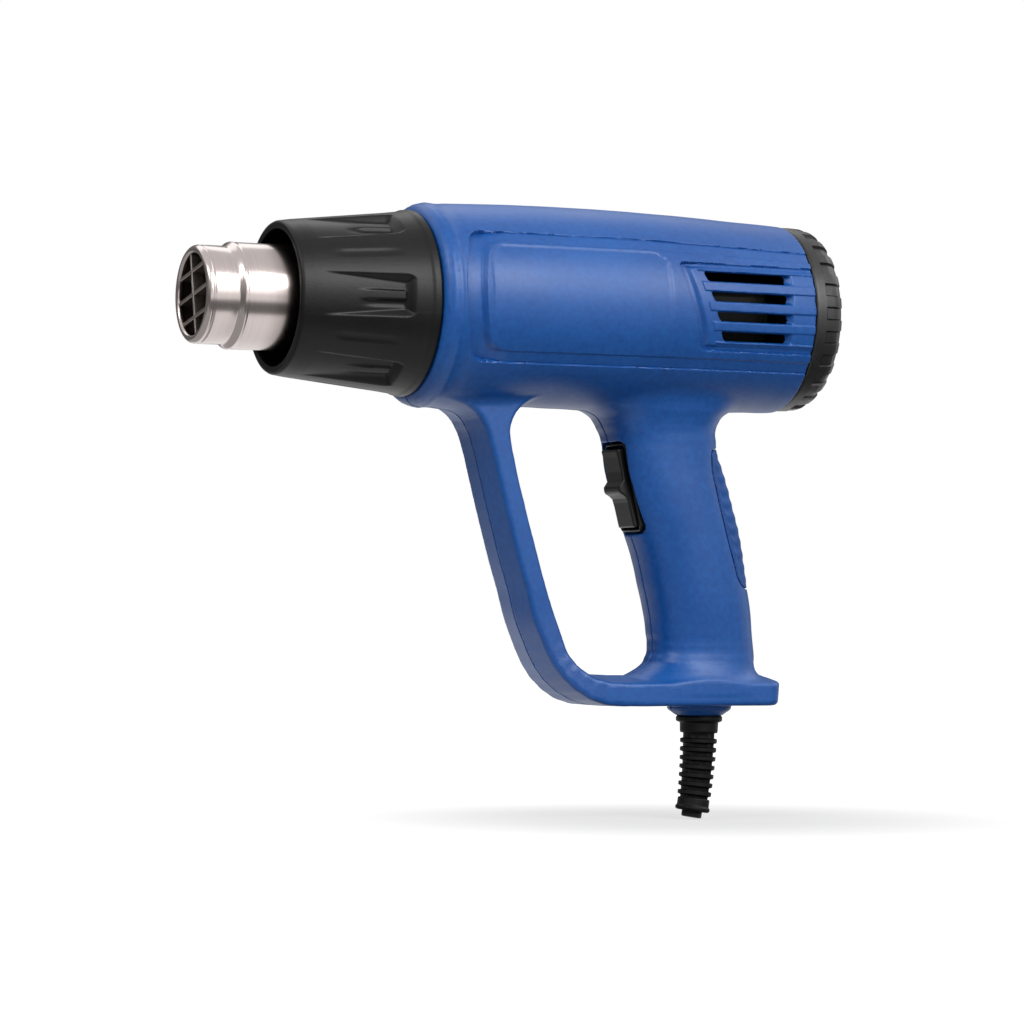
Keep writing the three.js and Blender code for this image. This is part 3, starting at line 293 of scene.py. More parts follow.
# Housing, millimetres: barrel, grip, hand guard and base as one field of distances
housing = {
    "frontX": -150.3, "rearX": -11.5, "gripWall": 3.8, "square": 2.4, "seam": 0.1, "groove": (0.4, 0.32),
    "thin": 2.0, "hollow": (-113, -20), "baseHalf": 17.3, "fine": (1.2, 0.65), "most": 190000,
    "barrel": [(-151.5, 29.5), (-150.3, 31.3), (-149.5, 32.5), (-148.4, 33.5), (-146.4, 34.25),
               (-145.4, 34.55), (-144.2, 34.42), (-137.8, 34.55), (-122.9, 34.9), (-108, 35.05),
               (-92.9, 35.05), (-77.7, 34.95), (-62.3, 34.6), (-46.8, 34.1), (-31.2, 33.25), (-15.3, 32.4),
               (-8, 31.9)],
    "bore": [(-152, 28.9), (-139.2, 28.9), (-137.5, 31.0), (-120, 32.2), (-93, 32.4), (-62, 32.0),
             (-31, 30.6), (-21.5, 30.0), (-19.4, 29.4), (-8, 29.4)],
    "grip": [(-0.34, 1.62, 1.24, 0), (-0.22, 1.5, 1.2, 0), (-0.165, 1.4, 1.17, 0), (-0.14, 1.32, 1.15, 0),
             (-0.118, 1.225, 1.12, 0.1), (-0.09, 1.15, 1.085, 0.2), (-0.058, 1.09, 1.055, 0.3),
             (0, 1.045, 1.03, 0.25), (0.06, 1.04, 1.02, -0.3), (0.26, 1.03, 1.02, -0.4),
             (0.47, 1.015, 1.01, 1.4), (0.59, 1.0, 1.0, 2.0), (0.7, 0.992, 0.985, 1.9),
             (0.82, 0.982, 0.962, 1.8), (0.94, 0.973, 0.928, 0.9), (1, 0.978, 0.915, 0.35),
             (1.06, 1.016, 0.925, 0.1), (1.1, 1.07, 0.955, -0.9), (1.13, 1.19, 0.995, -2.15),
             (1.155, 1.3, 1.04, -2.9), (1.2, 1.31, 1.13, -3.3)],
    "under": [(-152, 0), (-130, -0.1), (-112, -1.5), (-108, -1.65), (-98, -1.5), (-88, -1.3), (-78, -0.7),
              (-62, -0.1), (-40, -0.1), (-28, 0), (-20, 0.15), (-16, 0.4), (-8, 0.5)],
    "over": [(-152, -0.7), (-138, -0.7), (-118, -0.5), (-85, -0.33), (-50, -0.33), (-25, -0.15), (-12, 0),
             (-8, 0)],
    "gripTop": (-55.9, -43.6), "gripFoot": (-39.6, -113.8), "gripDeep": 37.6, "gripWide": 32.2,
}
# Hand guard: outer edge x, z, half width, outer crown, inner crown; then the inner edge
guardOut = [(x, z, 13, 1.5, 0.5) for x, z in (
    (-150, -22), (-145, -29.5), (-141, -32), (-137.8, -33.4), (-135.2, -34.5), (-132.6, -36.1), (-130.3, -38),
    (-128.5, -40.6), (-127, -43.6), (-126, -46.6), (-123.4, -56.2), (-118.3, -75.3), (-112.6, -94.5))]
guardOut += [(-106.2, -113.4, 13.2, 1.5, 0.9), (-103.8, -118.4, 13.5, 1.5, 1), (-100.7, -123.1, 14, 1.4, 1.3),
             (-96.2, -127.7, 14.7, 1.2, 1.7), (-91.3, -130.9, 15.3, 0.8, 2.1),
             (-85.2, -133.3, 15.9, 0.4, 2.4), (-79, -134.25, 16.4, 0.2, 2.6), (-73, -134.4, 16.8, 0.2, 2.6)]
guardOut += [(x, -134.4, 17.2, 0.2, 2.6) for x in (-60.6, -40, -20, 0)]
guardIn = [(-92, -18), (-100.2, -24), (-105.6, -27.4), (-109.7, -30.5), (-111.9, -32.5), (-114.1, -34.6),
           (-115.9, -37), (-116.9, -39.2), (-117.5, -41.6), (-117.4, -44), (-116.9, -47.2), (-115.8, -52.1),
           (-114.3, -58.7), (-112.4, -65.4), (-110.6, -72.1), (-108.6, -78.8), (-106.7, -85.4),
           (-104.7, -92.1), (-102.5, -98.8), (-100.1, -105.5), (-97.6, -112.3), (-96.4, -115.6), (-94, -119),
           (-90.3, -122.4), (-83.8, -125.4), (-77.5, -126.25), (-71, -126.4)]
guardIn += [(x, -126.4) for x in (-60, -40, -20, 0)]
baseEnd = -15.5
collar = {"x": -39.4, "line": [(-138.4, 8.2), (-137.7, 8.3), (-136.6, 9.6), (-135.9, 10.6), (-134.5, 10.8),
                               (-130, 10.8)]}
# Cord entry: groove for the boot's flange, its hole, the cord's hole
entry = {"groove": 8.9, "grooveZ": (-131.4, -128.0), "boot": 6.5, "bootTop": -130,
         "cord": 4.5, "cordTop": -112}
# Switch place, and the pocket and hole for it: half length, half width, corner, then from and to in depth
switchSpot = {"x": -69.2, "z": -60.0, "tilt": math.radians(12.5),
              "well": (16.3, 8.8, 3.0), "wellDepth": (-2.6, 14),
              "hole": (13.7, 6.9, 1.0), "holeDepth": (-18, 4)}
pad = {"top": -46.4, "foot": -94.0, "thick": 1.6, "gap": 0.28, "knob": 0.22, "pitch": 5.2,
       "edge": [(-100, -25.0), (-94, -29.3), (-90.2, -32.0), (-78.1, -35.9), (-66.1, -39.0), (-54.2, -41.7),
                (-46.4, -41.9), (-40, -41.9)],
       "swell": [(-96, 0.1), (-89, 0.1), (-82, 0.45), (-75, 1.0), (-68, 1.4), (-62, 1.55), (-58, 1.55),
                 (-54.5, 1.35), (-51, 0.8), (-48, 0.4), (-44, 0.2)]}
vents = {"z": (10.7, 3.9, -2.8, -9.4), "front": (-54.3, -52.3, -50.2, -48.1), "rear": -20.4, "half": 1.6,
         "lean": (-60.3, 0.29), "top": 15.5, "foot": -14.7, "inLeft": 4.6, "inTop": 13.2, "inFoot": -12.2,
         "deep": 1.5, "shoal": 0.7, "field": 0.45, "bar": 0.05, "line": 0.12, "barStart": 6.4,
         "endSlope": 0.9}
panel = {"left": -143.4, "bow": 0.0095, "foot": -20.8, "wide": 3.6, "wideLeft": 5.3, "deep": 0.45,
         "more": 1.45, "soft": 0.45, "slope": 2.6, "label": 0.22, "line": 0.2, "lip": 0.35,
         "topLine": [(-150, 22.9), (-134, 22.9), (-75, 22.7), (-44, 21.9), (-5, 20.8)]}
# Screws in the far half: x, z, height of the head's seat; radius of the post, its depth, radius of the well
screwSpots = [(-132.8, 26.4, 15.5), (-132.8, -26.4, 15.5), (-30.0, 25.0, 14.5), (-44.9, -44.0, 8.5),
              (-30.2, -103.4, 7.5), (-92.4, -125.7, 7.5)]
screwPost = {"radius": 5.2, "deep": 6, "well": 3.6}


def splineLine(points, count):
    points = np.asarray(points, float)
    knots = np.concatenate([[0], np.cumsum(np.hypot(*np.diff(points[:, :2], axis=0).T))])
    t = np.linspace(0, knots[-1], count)
    return np.stack([along(knots, points[:, k], t) for k in range(points.shape[1])], 1)


mapStep = 0.5
mapX = np.arange(-156, -4, mapStep)
mapZ = np.arange(-146, 40, mapStep)


def edgeMap(line):
    x, z = [a.ravel() for a in np.meshgrid(mapX, mapZ, indexing="ij")]
    a, d = line[:-1, :2], np.diff(line[:, :2], axis=0)
    best = np.full(len(x), 1e9)
    side = np.zeros(len(x))
    place = np.zeros(len(x))
    for i in range(len(d)):
        px, pz = x - a[i, 0], z - a[i, 1]
        t = np.clip((px * d[i, 0] + pz * d[i, 1]) / (d[i] @ d[i]), 0, 1)
        gap = (px - t * d[i, 0]) ** 2 + (pz - t * d[i, 1]) ** 2
        near = gap < best
        best[near] = gap[near]
        side[near] = (d[i, 0] * pz - d[i, 1] * px)[near]
        place[near] = i + t[near]
    return np.sign(side) * np.sqrt(best), place


def guardTables():
    outer, inner = splineLine(guardOut, 220), splineLine(guardIn, 200)
    outGap, place = edgeMap(outer)
    inGap, _ = edgeMap(inner)
    extra = [np.interp(place, np.arange(len(outer)), outer[:, k]) for k in (2, 3, 4)]
    shape = (len(mapX), len(mapZ))
    return [t.reshape(shape) for t in (outGap, -inGap, *extra)]


tables = guardTables()


def readTable(table, x, z):
    u = np.clip((x - mapX[0]) / mapStep, 1, len(mapX) - 3.001)
    v = np.clip((z - mapZ[0]) / mapStep, 1, len(mapZ) - 3.001)
    i, j = u.astype(int), v.astype(int)
    s, t = u - i, v - j

    def weights(s):
        return (-0.5 * s + s * s - 0.5 * s ** 3, 1 - 2.5 * s * s + 1.5 * s ** 3,
                0.5 * s + 2 * s * s - 1.5 * s ** 3, -0.5 * s * s + 0.5 * s ** 3)

    total = 0
    for a, wa in enumerate(weights(s)):
        for b, wb in enumerate(weights(t)):
            total = total + wa * wb * table[i + a - 1, j + b - 1]
    return total


def gripField(x, y, z):
    rows = np.array(housing["grip"])[::-1]
    (topX, topZ), (footX, footZ) = housing["gripTop"], housing["gripFoot"]
    heights = topZ + (footZ - topZ) * rows[:, 0]
    centres = topX + (footX - topX) * np.clip(rows[:, 0], -0.06, 1) + rows[:, 3]
    centre = along(heights, centres, z)
    a = along(heights, housing["gripDeep"] / 2 * rows[:, 1], z)
    b = along(heights, housing["gripWide"] / 2 * rows[:, 2], z)
    n = housing["square"]
    u, v = np.abs(x - centre) / a + 1e-6, np.abs(y) / b + 1e-6
    whole = (u ** n + v ** n) ** (1 / n)
    steep = np.hypot((u / whole) ** (n - 1) / a, (v / whole) ** (n - 1) / b)
    return (whole - 1) / steep


def guardField(x, y, z):
    outGap, inGap, half, crownOut, crownIn = [readTable(t, x, z) for t in tables]
    share = np.abs(y) / half
    outer = 0.9 * crownOut * share - outGap
    inner = -inGap - crownIn * (1 - np.minimum(share, 1.3))
    side = np.abs(y) - half
    end = x - baseEnd - 0.08 * (z + 130)
    side = cut(side, end, 6.0)
    return cut(cut(cut(outer, side, 1.8), inner, 1.3), z + 15, 2.0)


def switchPlace(x, z):
    s, c = math.sin(switchSpot["tilt"]), math.cos(switchSpot["tilt"])
    dx, dz = x - switchSpot["x"], z - switchSpot["z"]
    return dx * s - dz * c, -dx * c - dz * s


def roundBox(a, b, halfA, halfB, r):
    u, v = np.abs(a) - halfA + r, np.abs(b) - halfB + r
    return np.hypot(np.maximum(u, 0), np.maximum(v, 0)) + np.minimum(np.maximum(u, v), 0) - r


def panelLines(x, z):
    p, v = panel, vents
    left = p["left"] + p["bow"] * (z - 2) ** 2
    top = np.interp(x, *zip(*p["topLine"]))
    edge = cut(cut(left - x, z - top, 4.0), p["foot"] - z, 4.0)
    steep = p["slope"] + (p["soft"] - p["slope"]) * ramp(3, 14, x - left)
    inner = cut(cut(left + p["wideLeft"] - x, z - top + p["wide"], 4.0), p["foot"] + p["wide"] - z, 4.0)
    lean = v["lean"][0] - v["lean"][1] * z
    outline = cut(cut(lean - x, z - v["top"], 3.0), v["foot"] - z, 3.0)
    slope = cut((lean + v["inLeft"] - x) / 2.4, (z - v["inTop"]) / 0.8, 0.8)
    slope = cut(slope, (v["inFoot"] - z) / 0.8, 0.8)
    bar = -9.0
    for upper, lower in zip((v["inTop"] + 1.6, *v["z"]), (*v["z"], v["inFoot"] - 1.6)):
        half = (upper - lower) / 2 - v["half"] - 0.12
        bar = np.maximum(bar, half - np.abs(z - (upper + lower) / 2))
    bar = np.minimum(bar, x - lean - v["barStart"])
    return edge, inner / steep, outline, slope, bar, steep


def panelDepth(x, z):
    p, v = panel, vents
    edge, inner, outline, slope, bar, steep = panelLines(x, z)
    left = (steep - p["soft"]) / (p["slope"] - p["soft"])
    depth = (p["deep"] + p["more"] * left) * ramp(0, p["soft"] * (1 + left), -edge) * ramp(-1, 0, inner)
    depth = depth + p["line"] * (1 - ramp(0, 0.45, np.abs(edge + 0.35)))
    # raised lip at the left end of the inner field
    past = (-inner - 1) * steep
    depth = depth - p["lip"] * left * ramp(-0.5, 0, past) * (1 - ramp(0, 4, past))
    # shallow label area, fading downwards
    arc = roundBox(x + 101, z - 1, 33, 17.2, 6)
    depth = depth + p["label"] * ramp(-0.3, 0.5, -arc) * ramp(-16, 6, z)
    # sunk frame round the slots, sloping up to a field with raised bars
    deep = v["deep"] - v["shoal"] * ramp(3, 9, x - v["lean"][0] + v["lean"][1] * z)
    level = v["field"] + (deep - v["field"]) * ramp(0, 1, slope)
    level = level + (v["bar"] - v["field"]) * ramp(-0.1, 0.4, bar) * ramp(-0.3, 0, -slope)
    level = level + v["line"] * (1 - ramp(0, 0.45, np.abs(outline + 0.35)))
    sunk = ramp(0, p["soft"], -outline)
    return depth * (1 - sunk) + level * sunk


def outerField(x, y, z, lines=False):
    r = np.hypot(y, z)
    skin = along(*zip(*housing["barrel"]), x)
    if lines:
        skin = skin - panelDepth(x, z) * ramp(10, 16, np.abs(y))
    skin = skin + along(*zip(*housing["under"]), x) * ramp(0.6, 0.95, -z / np.maximum(r, 1))
    skin = skin + along(*zip(*housing["over"]), x) * ramp(0.6, 0.95, z / np.maximum(r, 1))
    tube = cut(r - skin, housing["frontX"] - x, 0.5)
    tube = cut(tube, x - housing["rearX"], 0.5)
    grip = cut(gripField(x, y, z), -129.5 - z, 2.0)
    grip = cut(grip, z + 14, 2.0)
    band = guardField(x, y, z)
    body = join(join(tube, grip, 3.5), band, 2.4)
    body = cut(body, np.abs(y) - housing["baseHalf"] - 2 * np.maximum(z + 121, 0), 0.4)
    ring = np.hypot(x - collar["x"], y)
    stub = np.maximum(cut(ring - along(*zip(*collar["line"]), z), -137.7 - z, 0.4), z + 128)
    return join(body, stub, 0.8), skin


def shellField(x, y, z, screws=False, lines=False):
    r = np.hypot(y, z)
    ring = np.hypot(x - collar["x"], y)
    body, skin = outerField(x, y, z, lines)
    # hollows, with posts left for the screws
    inside = np.minimum(np.interp(x, *zip(*housing["bore"])), skin - housing["thin"]) - r
    foot, top = housing["hollow"]
    hollow = np.maximum(gripField(x, y, z) + housing["gripWall"], foot - z)
    hollow = np.minimum(np.maximum(hollow, z - top), -inside)
    if screws:
        for sx, sz, seat in screwSpots:
            post = np.hypot(x - sx, z - sz) - screwPost["radius"]
            hollow = np.maximum(hollow, -np.maximum(post, seat - screwPost["deep"] - np.abs(y)))
    body = cut(body, -hollow, 0.5)
    # slots, only in the sides
    for height, front in zip(vents["z"], vents["front"]):
        slot = cut(np.abs(z - height) - vents["half"], front - 0.45 * (z - height) - x, 1.0)
        slot = cut(slot, x - vents["rear"] + vents["endSlope"] * np.maximum(skin - r, 0), 1.0)
        body = cut(body, -np.maximum(slot, 16 - np.abs(y)), 0.5)
    # switch pocket and the hole behind it
    l, n = switchPlace(x, z)
    for part, rounding in (("well", 0.6), ("hole", 0.4)):
        low, high = switchSpot[part + "Depth"]
        room = np.maximum(np.maximum(roundBox(l, y, *switchSpot[part]), low - n), n - high)
        body = cut(body, -room, rounding)
    # recess of the grip insert
    recess = np.maximum(-gripField(x, y, z) - pad["thick"] - pad["gap"], padField(x, z) - pad["gap"])
    body = cut(body, -recess, 0.35)
    # cord entry
    low, high = entry["grooveZ"]
    groove = np.maximum(ring - entry["groove"], np.maximum(low - z, z - high))
    body = np.maximum(body, -np.minimum(groove, np.maximum(ring - entry["boot"], z - entry["bootTop"])))
    body = np.maximum(body, -np.maximum(ring - entry["cord"], z - entry["cordTop"]))
    if screws:
        # the guard's band is too narrow for a well at the last screw
        for sx, sz, seat in screwSpots[:5]:
            body = cut(body, -np.maximum(np.hypot(x - sx, z - sz) - screwPost["well"], seat - np.abs(y)), 0.5)
    # fine groove along the parting line
    deep, wide = housing["groove"]
    return body + deep * (1 - ramp(0, wide, np.abs(y) - housing["seam"]))


def padField(x, z):
    edge = np.interp(z, *zip(*pad["edge"]))
    return cut(cut(edge - x, z - pad["top"], 3.0), pad["foot"] - z, 3.0)


# Surface of a field: one point in every cell that the surface crosses
def netOf(field, low, high, step):
    axes = [np.arange(a, b + step, step) for a, b in zip(low, high)]
    x, y, z = axes
    blocks = []
    for k in range(0, len(z), 24):
        part = field(x[:, None, None], y[None, :, None], z[None, None, k:k + 24])
        blocks.append(np.broadcast_to(part, (len(x), len(y), len(z[k:k + 24]))).astype(np.float32))
    values = np.concatenate(blocks, 2)
    inside = values < 0
    corners = [(i, j, k) for i in (0, 1) for j in (0, 1) for k in (0, 1)]
    shape = [n - 1 for n in values.shape]

    def corner(array, c):
        return array[c[0]:c[0] + shape[0], c[1]:c[1] + shape[1], c[2]:c[2] + shape[2]]

    count = sum(corner(inside, c).astype(np.int8) for c in corners)
    cells = np.argwhere((count > 0) & (count < 8))
    at = np.stack([values[tuple((cells + c).T)] for c in corners], 1)
    total = np.zeros((len(cells), 3))
    hits = np.zeros(len(cells))
    for a in range(8):
        for b in range(a + 1, 8):
            ca, cb = np.array(corners[a]), np.array(corners[b])
            if np.abs(ca - cb).sum() != 1:
                continue
            crossed = (at[:, a] < 0) != (at[:, b] < 0)
            t = at[crossed, a] / (at[crossed, a] - at[crossed, b])
            total[crossed] += ca + t[:, None] * (cb - ca)
            hits[crossed] += 1
    points = np.array([low]) + (cells + total / hits[:, None]) * step
    index = np.full(shape, -1, np.int32)
    index[tuple(cells.T)] = np.arange(len(cells))
    faces = []
    for axis in range(3):
        p, q = (axis + 1) % 3, (axis + 2) % 3
        first = [slice(1, -1)] * 3
        first[axis] = slice(0, -1)
        second = list(first)
        second[axis] = slice(1, None)
        change = inside[tuple(first)].astype(np.int8) - inside[tuple(second)]
        for sign in (1, -1):
            spot = np.argwhere(change == sign) + 1
            spot[:, axis] -= 1
            quad = []
            for dp, dq in ((0, 0), (1, 0), (1, 1), (0, 1)):
                cell = spot.copy()
                cell[:, p] -= dp
                cell[:, q] -= dq
                quad.append(index[tuple(cell.T)])
            quad = np.stack(quad, 1)
            faces.append(quad if sign > 0 else quad[:, ::-1])
    return points, np.concatenate(faces), cells, values


def slopeOf(field, points, value, reach=0.05):
    parts = [(field(*(points + np.eye(3)[k] * reach).T) - value) / reach for k in range(3)]
    return np.stack(parts, 1)


# Points drawn onto the surface, each round by half a step at most
def settle(field, points, step):
    for turn in range(3):
        value = field(*points.T)
        if turn < 2:
            slope = slopeOf(field, points, value)
            slope /= np.maximum((slope ** 2).sum(1), 0.05)[:, None]
        move = value[:, None] * slope
        size = np.linalg.norm(move, axis=1, keepdims=True)
        points = points - move * np.minimum(1, 0.5 * step / np.maximum(size, 1e-9))
    return points


# Picked quads in four; their neighbours become fans of triangles, so that no edge stays open
def finer(points, quads, fans, pick):
    count = len(points)

    def edgeKeys(faces):
        ends = np.stack([faces, np.roll(faces, -1, 1)], 2).astype(np.int64)
        return ends.min(2) * count + ends.max(2)

    keys = edgeKeys(quads[pick])
    split = np.unique(keys)
    extra = [(points[split // count] + points[split % count]) / 2, points[quads[pick]].mean(1)]
    hub = count + len(split) + np.arange(len(keys))
    mids = count + np.searchsorted(split, keys)
    small = np.stack([quads[pick], mids, np.repeat(hub[:, None], 4, 1), np.roll(mids, 1, 1)], 2)
    small = small.reshape(-1, 4)
    total = count + len(split) + len(keys)
    kept, made = [], []
    for faces in (quads[~pick], fans):
        keys = edgeKeys(faces)
        place = np.minimum(np.searchsorted(split, keys), len(split) - 1)
        has = split[place] == keys
        mixed = has.any(1)
        kept.append(faces[~mixed])
        corners, has, place = faces[mixed], has[mixed], place[mixed] + count
        hub = total + np.arange(len(corners))
        total += len(corners)
        extra.append(points[corners].mean(1))
        sides = corners.shape[1]
        for k in range(sides):
            a, b, m = corners[:, k], corners[:, (k + 1) % sides], place[:, k]
            made.append(np.stack([a, np.where(has[:, k], m, b), hub], 1))
            made.append(np.stack([m, b, hub], 1)[has[:, k]])
    points = np.concatenate([points, *extra])
    return points, np.concatenate([kept[0], small]), np.concatenate([kept[1], *made])


# Distance to the nearest fine line: panel, vents, parting line, switch pocket, grip insert
def lineGap(points):
    x, y, z = points.T
    edge, inner, outline, slope, bar, _ = panelLines(x, z)
    gap = np.minimum(np.abs(edge + 0.3), np.abs(outline + 0.3))
    near = np.where(outline < 0.5, np.minimum(np.abs(slope) * 0.9, np.abs(bar)), np.abs(inner + 0.5))
    outer = outerField(x, y, z)[0] > -0.9
    seen = (np.hypot(y, z) > along(*zip(*housing["barrel"]), x) - 2.6) & (np.abs(y) > 12) & (np.abs(z) < 26)
    far = 99
    gap = np.where(seen & (edge < 2), np.minimum(gap, near), far)
    seam = np.where(outer, np.abs(y) - housing["seam"] + 0.45, far)
    l, n = switchPlace(x, z)
    well = np.where((n > -4) & (n < 6), np.abs(roundBox(l, y, *switchSpot["well"])), far)
    onGrip = (x > -46) & (z < -42) & (gripField(x, y, z) > -2.2)
    rim = np.where(onGrip, np.abs(padField(x, z) - pad["gap"]), far)
    return np.minimum.reduce([gap, seam, well, rim])


def facing(field, points):
    slope = slopeOf(field, points, field(*points.T))
    return slope / np.maximum(np.linalg.norm(slope, axis=1, keepdims=True), 1e-9)


# Inside the housing, deeper under the outer skin than the fine lines go
def hidden(points):
    return outerField(*points.T)[0] < -1.9


def bent(field, points, faces):
    slope = facing(field, points)
    curved = np.linalg.norm(slope[faces].mean(1), axis=1) < 0.95
    return curved & ~hidden(points)[faces].any(1)


# Panel and vent frame are pressed into the smooth skin, towards the barrel's axis
def pressed(points):
    x, y, z = points.T
    share = ramp(-1.6, -0.4, outerField(x, y, z)[0])
    away = np.hypot(y, z)
    scale = np.ones(len(x))
    for _ in range(3):
        depth = panelDepth(x, z * scale) * ramp(10, 16, np.abs(y) * scale)
        scale = 1 - depth * share / away
    return np.stack([x, y * scale, z * scale], 1)


# Only the faces inside are thinned, the outer skin stays as it is
def thinned(piece, limit, inner):
    faces = sum(len(p.vertices) - 2 for p in piece.data.polygons)
    print(piece.name, "triangles before thinning", faces)
    if faces > limit:
        group = piece.vertex_groups.new(name="hidden")
        group.add(np.nonzero(inner)[0].tolist(), 1.0, "REPLACE")
        modifier = piece.modifiers.new("thin", "DECIMATE")
        modifier.ratio = limit / faces
        modifier.vertex_group = "hidden"
        modifier.vertex_group_factor = 0.000001
        baked(piece)
        piece.vertex_groups.clear()


def baked(piece):
    graph = bpy.context.evaluated_depsgraph_get()
    mesh = bpy.data.meshes.new_from_object(piece.evaluated_get(graph))
    piece.modifiers.clear()
    old = piece.data
    piece.data = mesh
    bpy.data.meshes.remove(old)


# Shading from the field's own slope, or from the face where the two differ by more than the angle
def shade(piece, field, mirror=1, degrees=40):
    mesh = piece.data
    count = len(mesh.vertices)
    points = np.zeros(count * 3, np.float32)
    mesh.vertices.foreach_get("co", points)
    points = points.reshape(-1, 3).astype(float) / mm * (1, mirror, 1)
    slope = facing(field, points) * (1, mirror, 1)
    loops = np.zeros(len(mesh.loops), np.int32)
    mesh.loops.foreach_get("vertex_index", loops)
    sizes = np.zeros(len(mesh.polygons), np.int32)
    mesh.polygons.foreach_get("loop_total", sizes)
    flat = np.zeros(len(mesh.polygons) * 3, np.float32)
    mesh.polygons.foreach_get("normal", flat)
    flat = np.repeat(flat.reshape(-1, 3), sizes, 0)
    normals = slope[loops]
    off = (normals * flat).sum(1) < math.cos(math.radians(degrees))
    normals[off] = flat[off]
    mesh.polygons.foreach_set("use_smooth", np.ones(len(mesh.polygons), bool))
    mesh.normals_split_custom_set(normals)


# One half: made at negative Y with its rim on the parting line, mirrored for the far side
def buildHalf(name, screws):
    step = 1.25
    seam = -housing["seam"]
    low = (-151.4, -36.2, -138.9)
    high = (-10.4, 0.9, 36.4)
    layer = round((0 - low[1]) / step)
    low = (low[0], seam - (layer + 0.5) * step, low[2])

    def body(x, y, z):
        return shellField(x, y, z, screws)

    def half(x, y, z, lines=False):
        return np.maximum(shellField(x, y, z, screws, lines), y - seam)

    def lined(x, y, z):
        return half(x, y, z, True)

    def rim(x, y, z):
        return body(x, seam + 0 * y, z)

    def rimPoints(edge, step):
        edge = settle(rim, edge, step)
        edge[:, 1] = seam
        return edge

    def onSeam(points):
        return points[:, 1] > seam - 0.000001

    points, faces, cells, values = netOf(half, low, high, step)
    spot = cells[:, 1] == layer
    i, j, k = cells.T
    near = np.stack([values[i + a, j, k + b] < 0 for a in (0, 1) for b in (0, 1)], 1)
    crease = spot & near.any(1) & ~near.all(1)
    points[spot, 1] = seam
    points[~spot] = settle(body, points[~spot], step)
    points[crease] = rimPoints(points[crease], step)
    fans = np.zeros((0, 3), int)
    for reach in housing["fine"]:
        count = len(points)
        pick = (lineGap(points) < reach)[faces].any(1)
        if not len(fans):
            pick |= bent(body, points, faces)
        points, faces, fans = finer(points, faces, fans, pick & ~onSeam(points)[faces].all(1))
        step /= 2
        fresh = np.arange(len(points)) >= count
        moved = (fresh | (lineGap(points) < reach)) & ~onSeam(points)
        points[moved] = settle(body, points[moved], step)
        crease = fresh & onSeam(points) & (body(*points.T) > -0.12)
        points[crease] = rimPoints(points[crease], step)
    mirror = -1 if screws else 1
    groups = [group[:, ::mirror] for group in (faces, fans) if len(group)]
    piece = meshFrom(name, pressed(points) * (1, mirror, 1), groups, "bluePlastic")
    thinned(piece, housing["most"], hidden(points))
    shade(piece, lined, mirror, 72)
    print(name, "polygons", len(piece.data.polygons))
    return piece


def dress(piece, body, slot, *nodes):
    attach(piece, body)
    if nodes:
        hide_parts(*nodes)
    return piece


dress(buildHalf("housingLeft", False), "body", "blue_plastic", "housing_left")
dress(buildHalf("housingRight", True), "body", "blue_plastic", "housing_right")


# Grip insert: a soft shell laid flush in the back of the grip
def buildPad():
    def field(x, y, z):
        skin, edge = gripField(x, y, z), padField(x, z)
        turn = 2 * math.pi / pad["pitch"]
        knobs = pad["knob"] * np.sin(turn * (y + 0.6 * z)) * np.sin(turn * (y - 0.6 * z))
        swell = 0.05 + along(*zip(*pad["swell"]), z) * ramp(0, 6, -edge) + knobs * ramp(1.0, 2.5, -edge)
        return cut(cut(skin - swell, edge, 0.5), -skin - pad["thick"], 0.4)

    step = 0.5
    points, faces, _, _ = netOf(field, (-44, -18.6, -96), (-10, 18.6, -44), step)
    piece = meshFrom("gripPad", settle(field, points, step), faces, "blueSoft")
    shade(piece, field)
    return piece


dress(buildPad(), "body", "blue_soft", "grip_pad")


# A tree of nodes that makes a shape, with its named inputs
def shapeTree(name, kinds, output):
    tree = bpy.data.node_groups.new(name, "GeometryNodeTree")
    for label, kind in kinds.items():
        tree.interface.new_socket(label, in_out="INPUT", socket_type="NodeSocket" + kind)
    tree.interface.new_socket(output, in_out="OUTPUT", socket_type="NodeSocketGeometry")
    nodes = Nodes(name, tree)
    start = tree.nodes.new("NodeGroupInput")
    return nodes, {label: Wire(nodes, start.outputs[label]) for label in kinds}


# Screws of the far half: a head with a cross recess and a shank, copied to every seat
screwLook = {"head": 3.3, "crown": 2.8, "tall": 2.4, "shank": 1.7, "cross": (4.0, 0.95, 3.0), "gap": 0.3,
             "ends": (-9, -9, -9, -9, -8, -8)}


